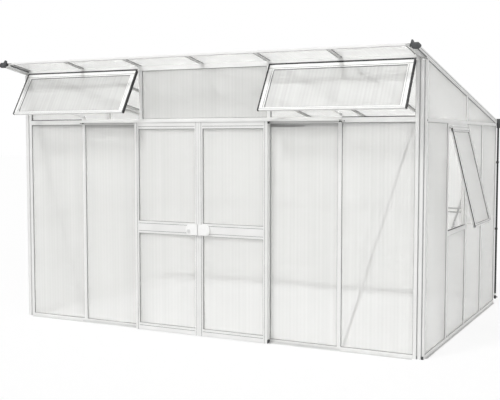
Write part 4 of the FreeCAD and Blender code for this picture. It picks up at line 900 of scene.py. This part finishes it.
def downpipe_clips():
    """Pale joint at the foot of the downpipe and dark clips above it."""
    rounding = 0.0007
    clips = sorted(islands("downpipe_clips"),
                   key=lambda faces: min(corner.z for face in faces for corner in face))
    joint = softened(clips[:1], rounding)
    add_piece("downpipe_joint", joint, "frame", PALE, "downpipe_clips")
    uppers = softened(clips[1:], rounding)
    add_piece("downpipe_upper_clips", uppers, "frame", PIPE, "downpipe_clips")


def handle_plates():
    """Moulded plates of the door handle, well rounded at their outer ends."""
    far = 0.112
    low, high = 0.8785, 0.9635
    back, front = -0.070, -0.092
    radius, steps = 0.034, 10
    rounding = 0.003
    outline = [(DOOR_GAP, low)]
    for height, start in ((low + radius, -math.pi / 2), (high - radius, 0)):
        for step in range(steps + 1):
            turn = start + step * math.pi / 2 / steps
            outline.append((far - radius + radius * math.cos(turn), height + radius * math.sin(turn)))
    outline.append((DOOR_GAP, high))
    count = len(outline)
    for name, side in (("left", -1), ("right", 1)):
        rims = [[WALLS["front"] @ Vector((side * u, depth, v)) for u, v in outline]
                for depth in (front, back)]
        faces = list(rims)
        for spot in range(count):
            after = (spot + 1) % count
            faces.append([rims[0][spot], rims[0][after], rims[1][after], rims[1][spot]])
        plate = softened([faces], rounding)
        split_shading(add_piece(f"door_{name}_handle_moulded", plate, f"door_{name}", PALE,
                                f"door_{name}_handle"))


def add_turned(mesh, place, sides, profile):
    """Closed form with a number of sides, from rings of radius and height, capped at both ends."""
    turns = [math.tau * step / sides for step in range(sides)]
    loops = [[mesh.verts.new(place @ Vector((radius * math.cos(turn), radius * math.sin(turn), height)))
              for turn in turns] for radius, height in profile]
    for lower, upper in zip(loops, loops[1:]):
        bridge(mesh, upper, lower)
    mesh.faces.new(reversed(loops[0]))
    mesh.faces.new(loops[-1])


def track_buffers():
    """Rubber buffer on the inner side of each track stop."""
    mesh = bmesh.new()
    stop, out, height = 1.253, 0.011, 1.829
    round_sides = 20
    profile = [(0.0045, 0), (0.0062, 0.001), (0.0068, 0.006), (0.0058, 0.010), (0.003, 0.0116)]
    for side in (-1, 1):
        place = (Matrix.Translation((side * stop, -HALF_DEPTH - out, height))
                 @ Matrix.Rotation(-side * math.pi / 2, 4, "Y"))
        add_turned(mesh, place, round_sides, profile)
    add_piece("track_buffers", mesh, "frame", RUBBER)


def bolt_heads():
    """Hexagon heads on washers in place of the plain heads."""
    mesh = bmesh.new()
    washer = [(0.0046, 0), (0.005, 0.0002), (0.005, 0.0008), (0.0046, 0.001)]
    head = [(0.0044, 0.001), (0.0044, 0.0036), (0.0038, 0.004)]
    round_sides, hexagon = 24, 6
    for faces in islands("frame_bolts"):
        corners = [corner for face in faces for corner in face]
        low = Vector(min(corner[axis] for corner in corners) for axis in range(3))
        high = Vector(max(corner[axis] for corner in corners) for axis in range(3))
        middle = (low + high) / 2
        size = high - low
        axis = min(range(2), key=lambda k: size[k])
        wall = (HALF_WIDTH, HALF_DEPTH)[axis]
        side = 1 if middle[axis] > 0 else -1
        way = Vector((0, 0, 0))
        way[axis] = side if abs(middle[axis]) > wall else -side
        foot = middle - way * size[axis] / 2
        place = Matrix.Translation(foot) @ way.to_track_quat("Z", "Y").to_matrix().to_4x4()
        add_turned(mesh, place, round_sides, washer)
        add_turned(mesh, place, hexagon, head)
    add_piece("frame_bolt_heads", mesh, "frame", STEEL, "frame_bolts")


dress_nodes()
wall_gaskets()
roof_gaskets_and_shade()
door_gaskets()
sash_gaskets()
post_groove_shade()
sill_trim()
door_groove_shade()
sash_groove_shade()
jamb_painted_shade()
door_plugs()
inner_strips()
gable_seals()
frame_seals()
barge_lines()
mouldings()
downpipe_clips()
handle_plates()
track_buffers()
bolt_heads()
add_camera()
add_sun("key", KEY_TRAVEL, KEY_STRENGTH, KEY_SPREAD)
add_sun("fill", FILL_TRAVEL, FILL_STRENGTH, FILL_SPREAD)
add_surround()
add_floor()
scene.view_settings.view_transform = "Standard"
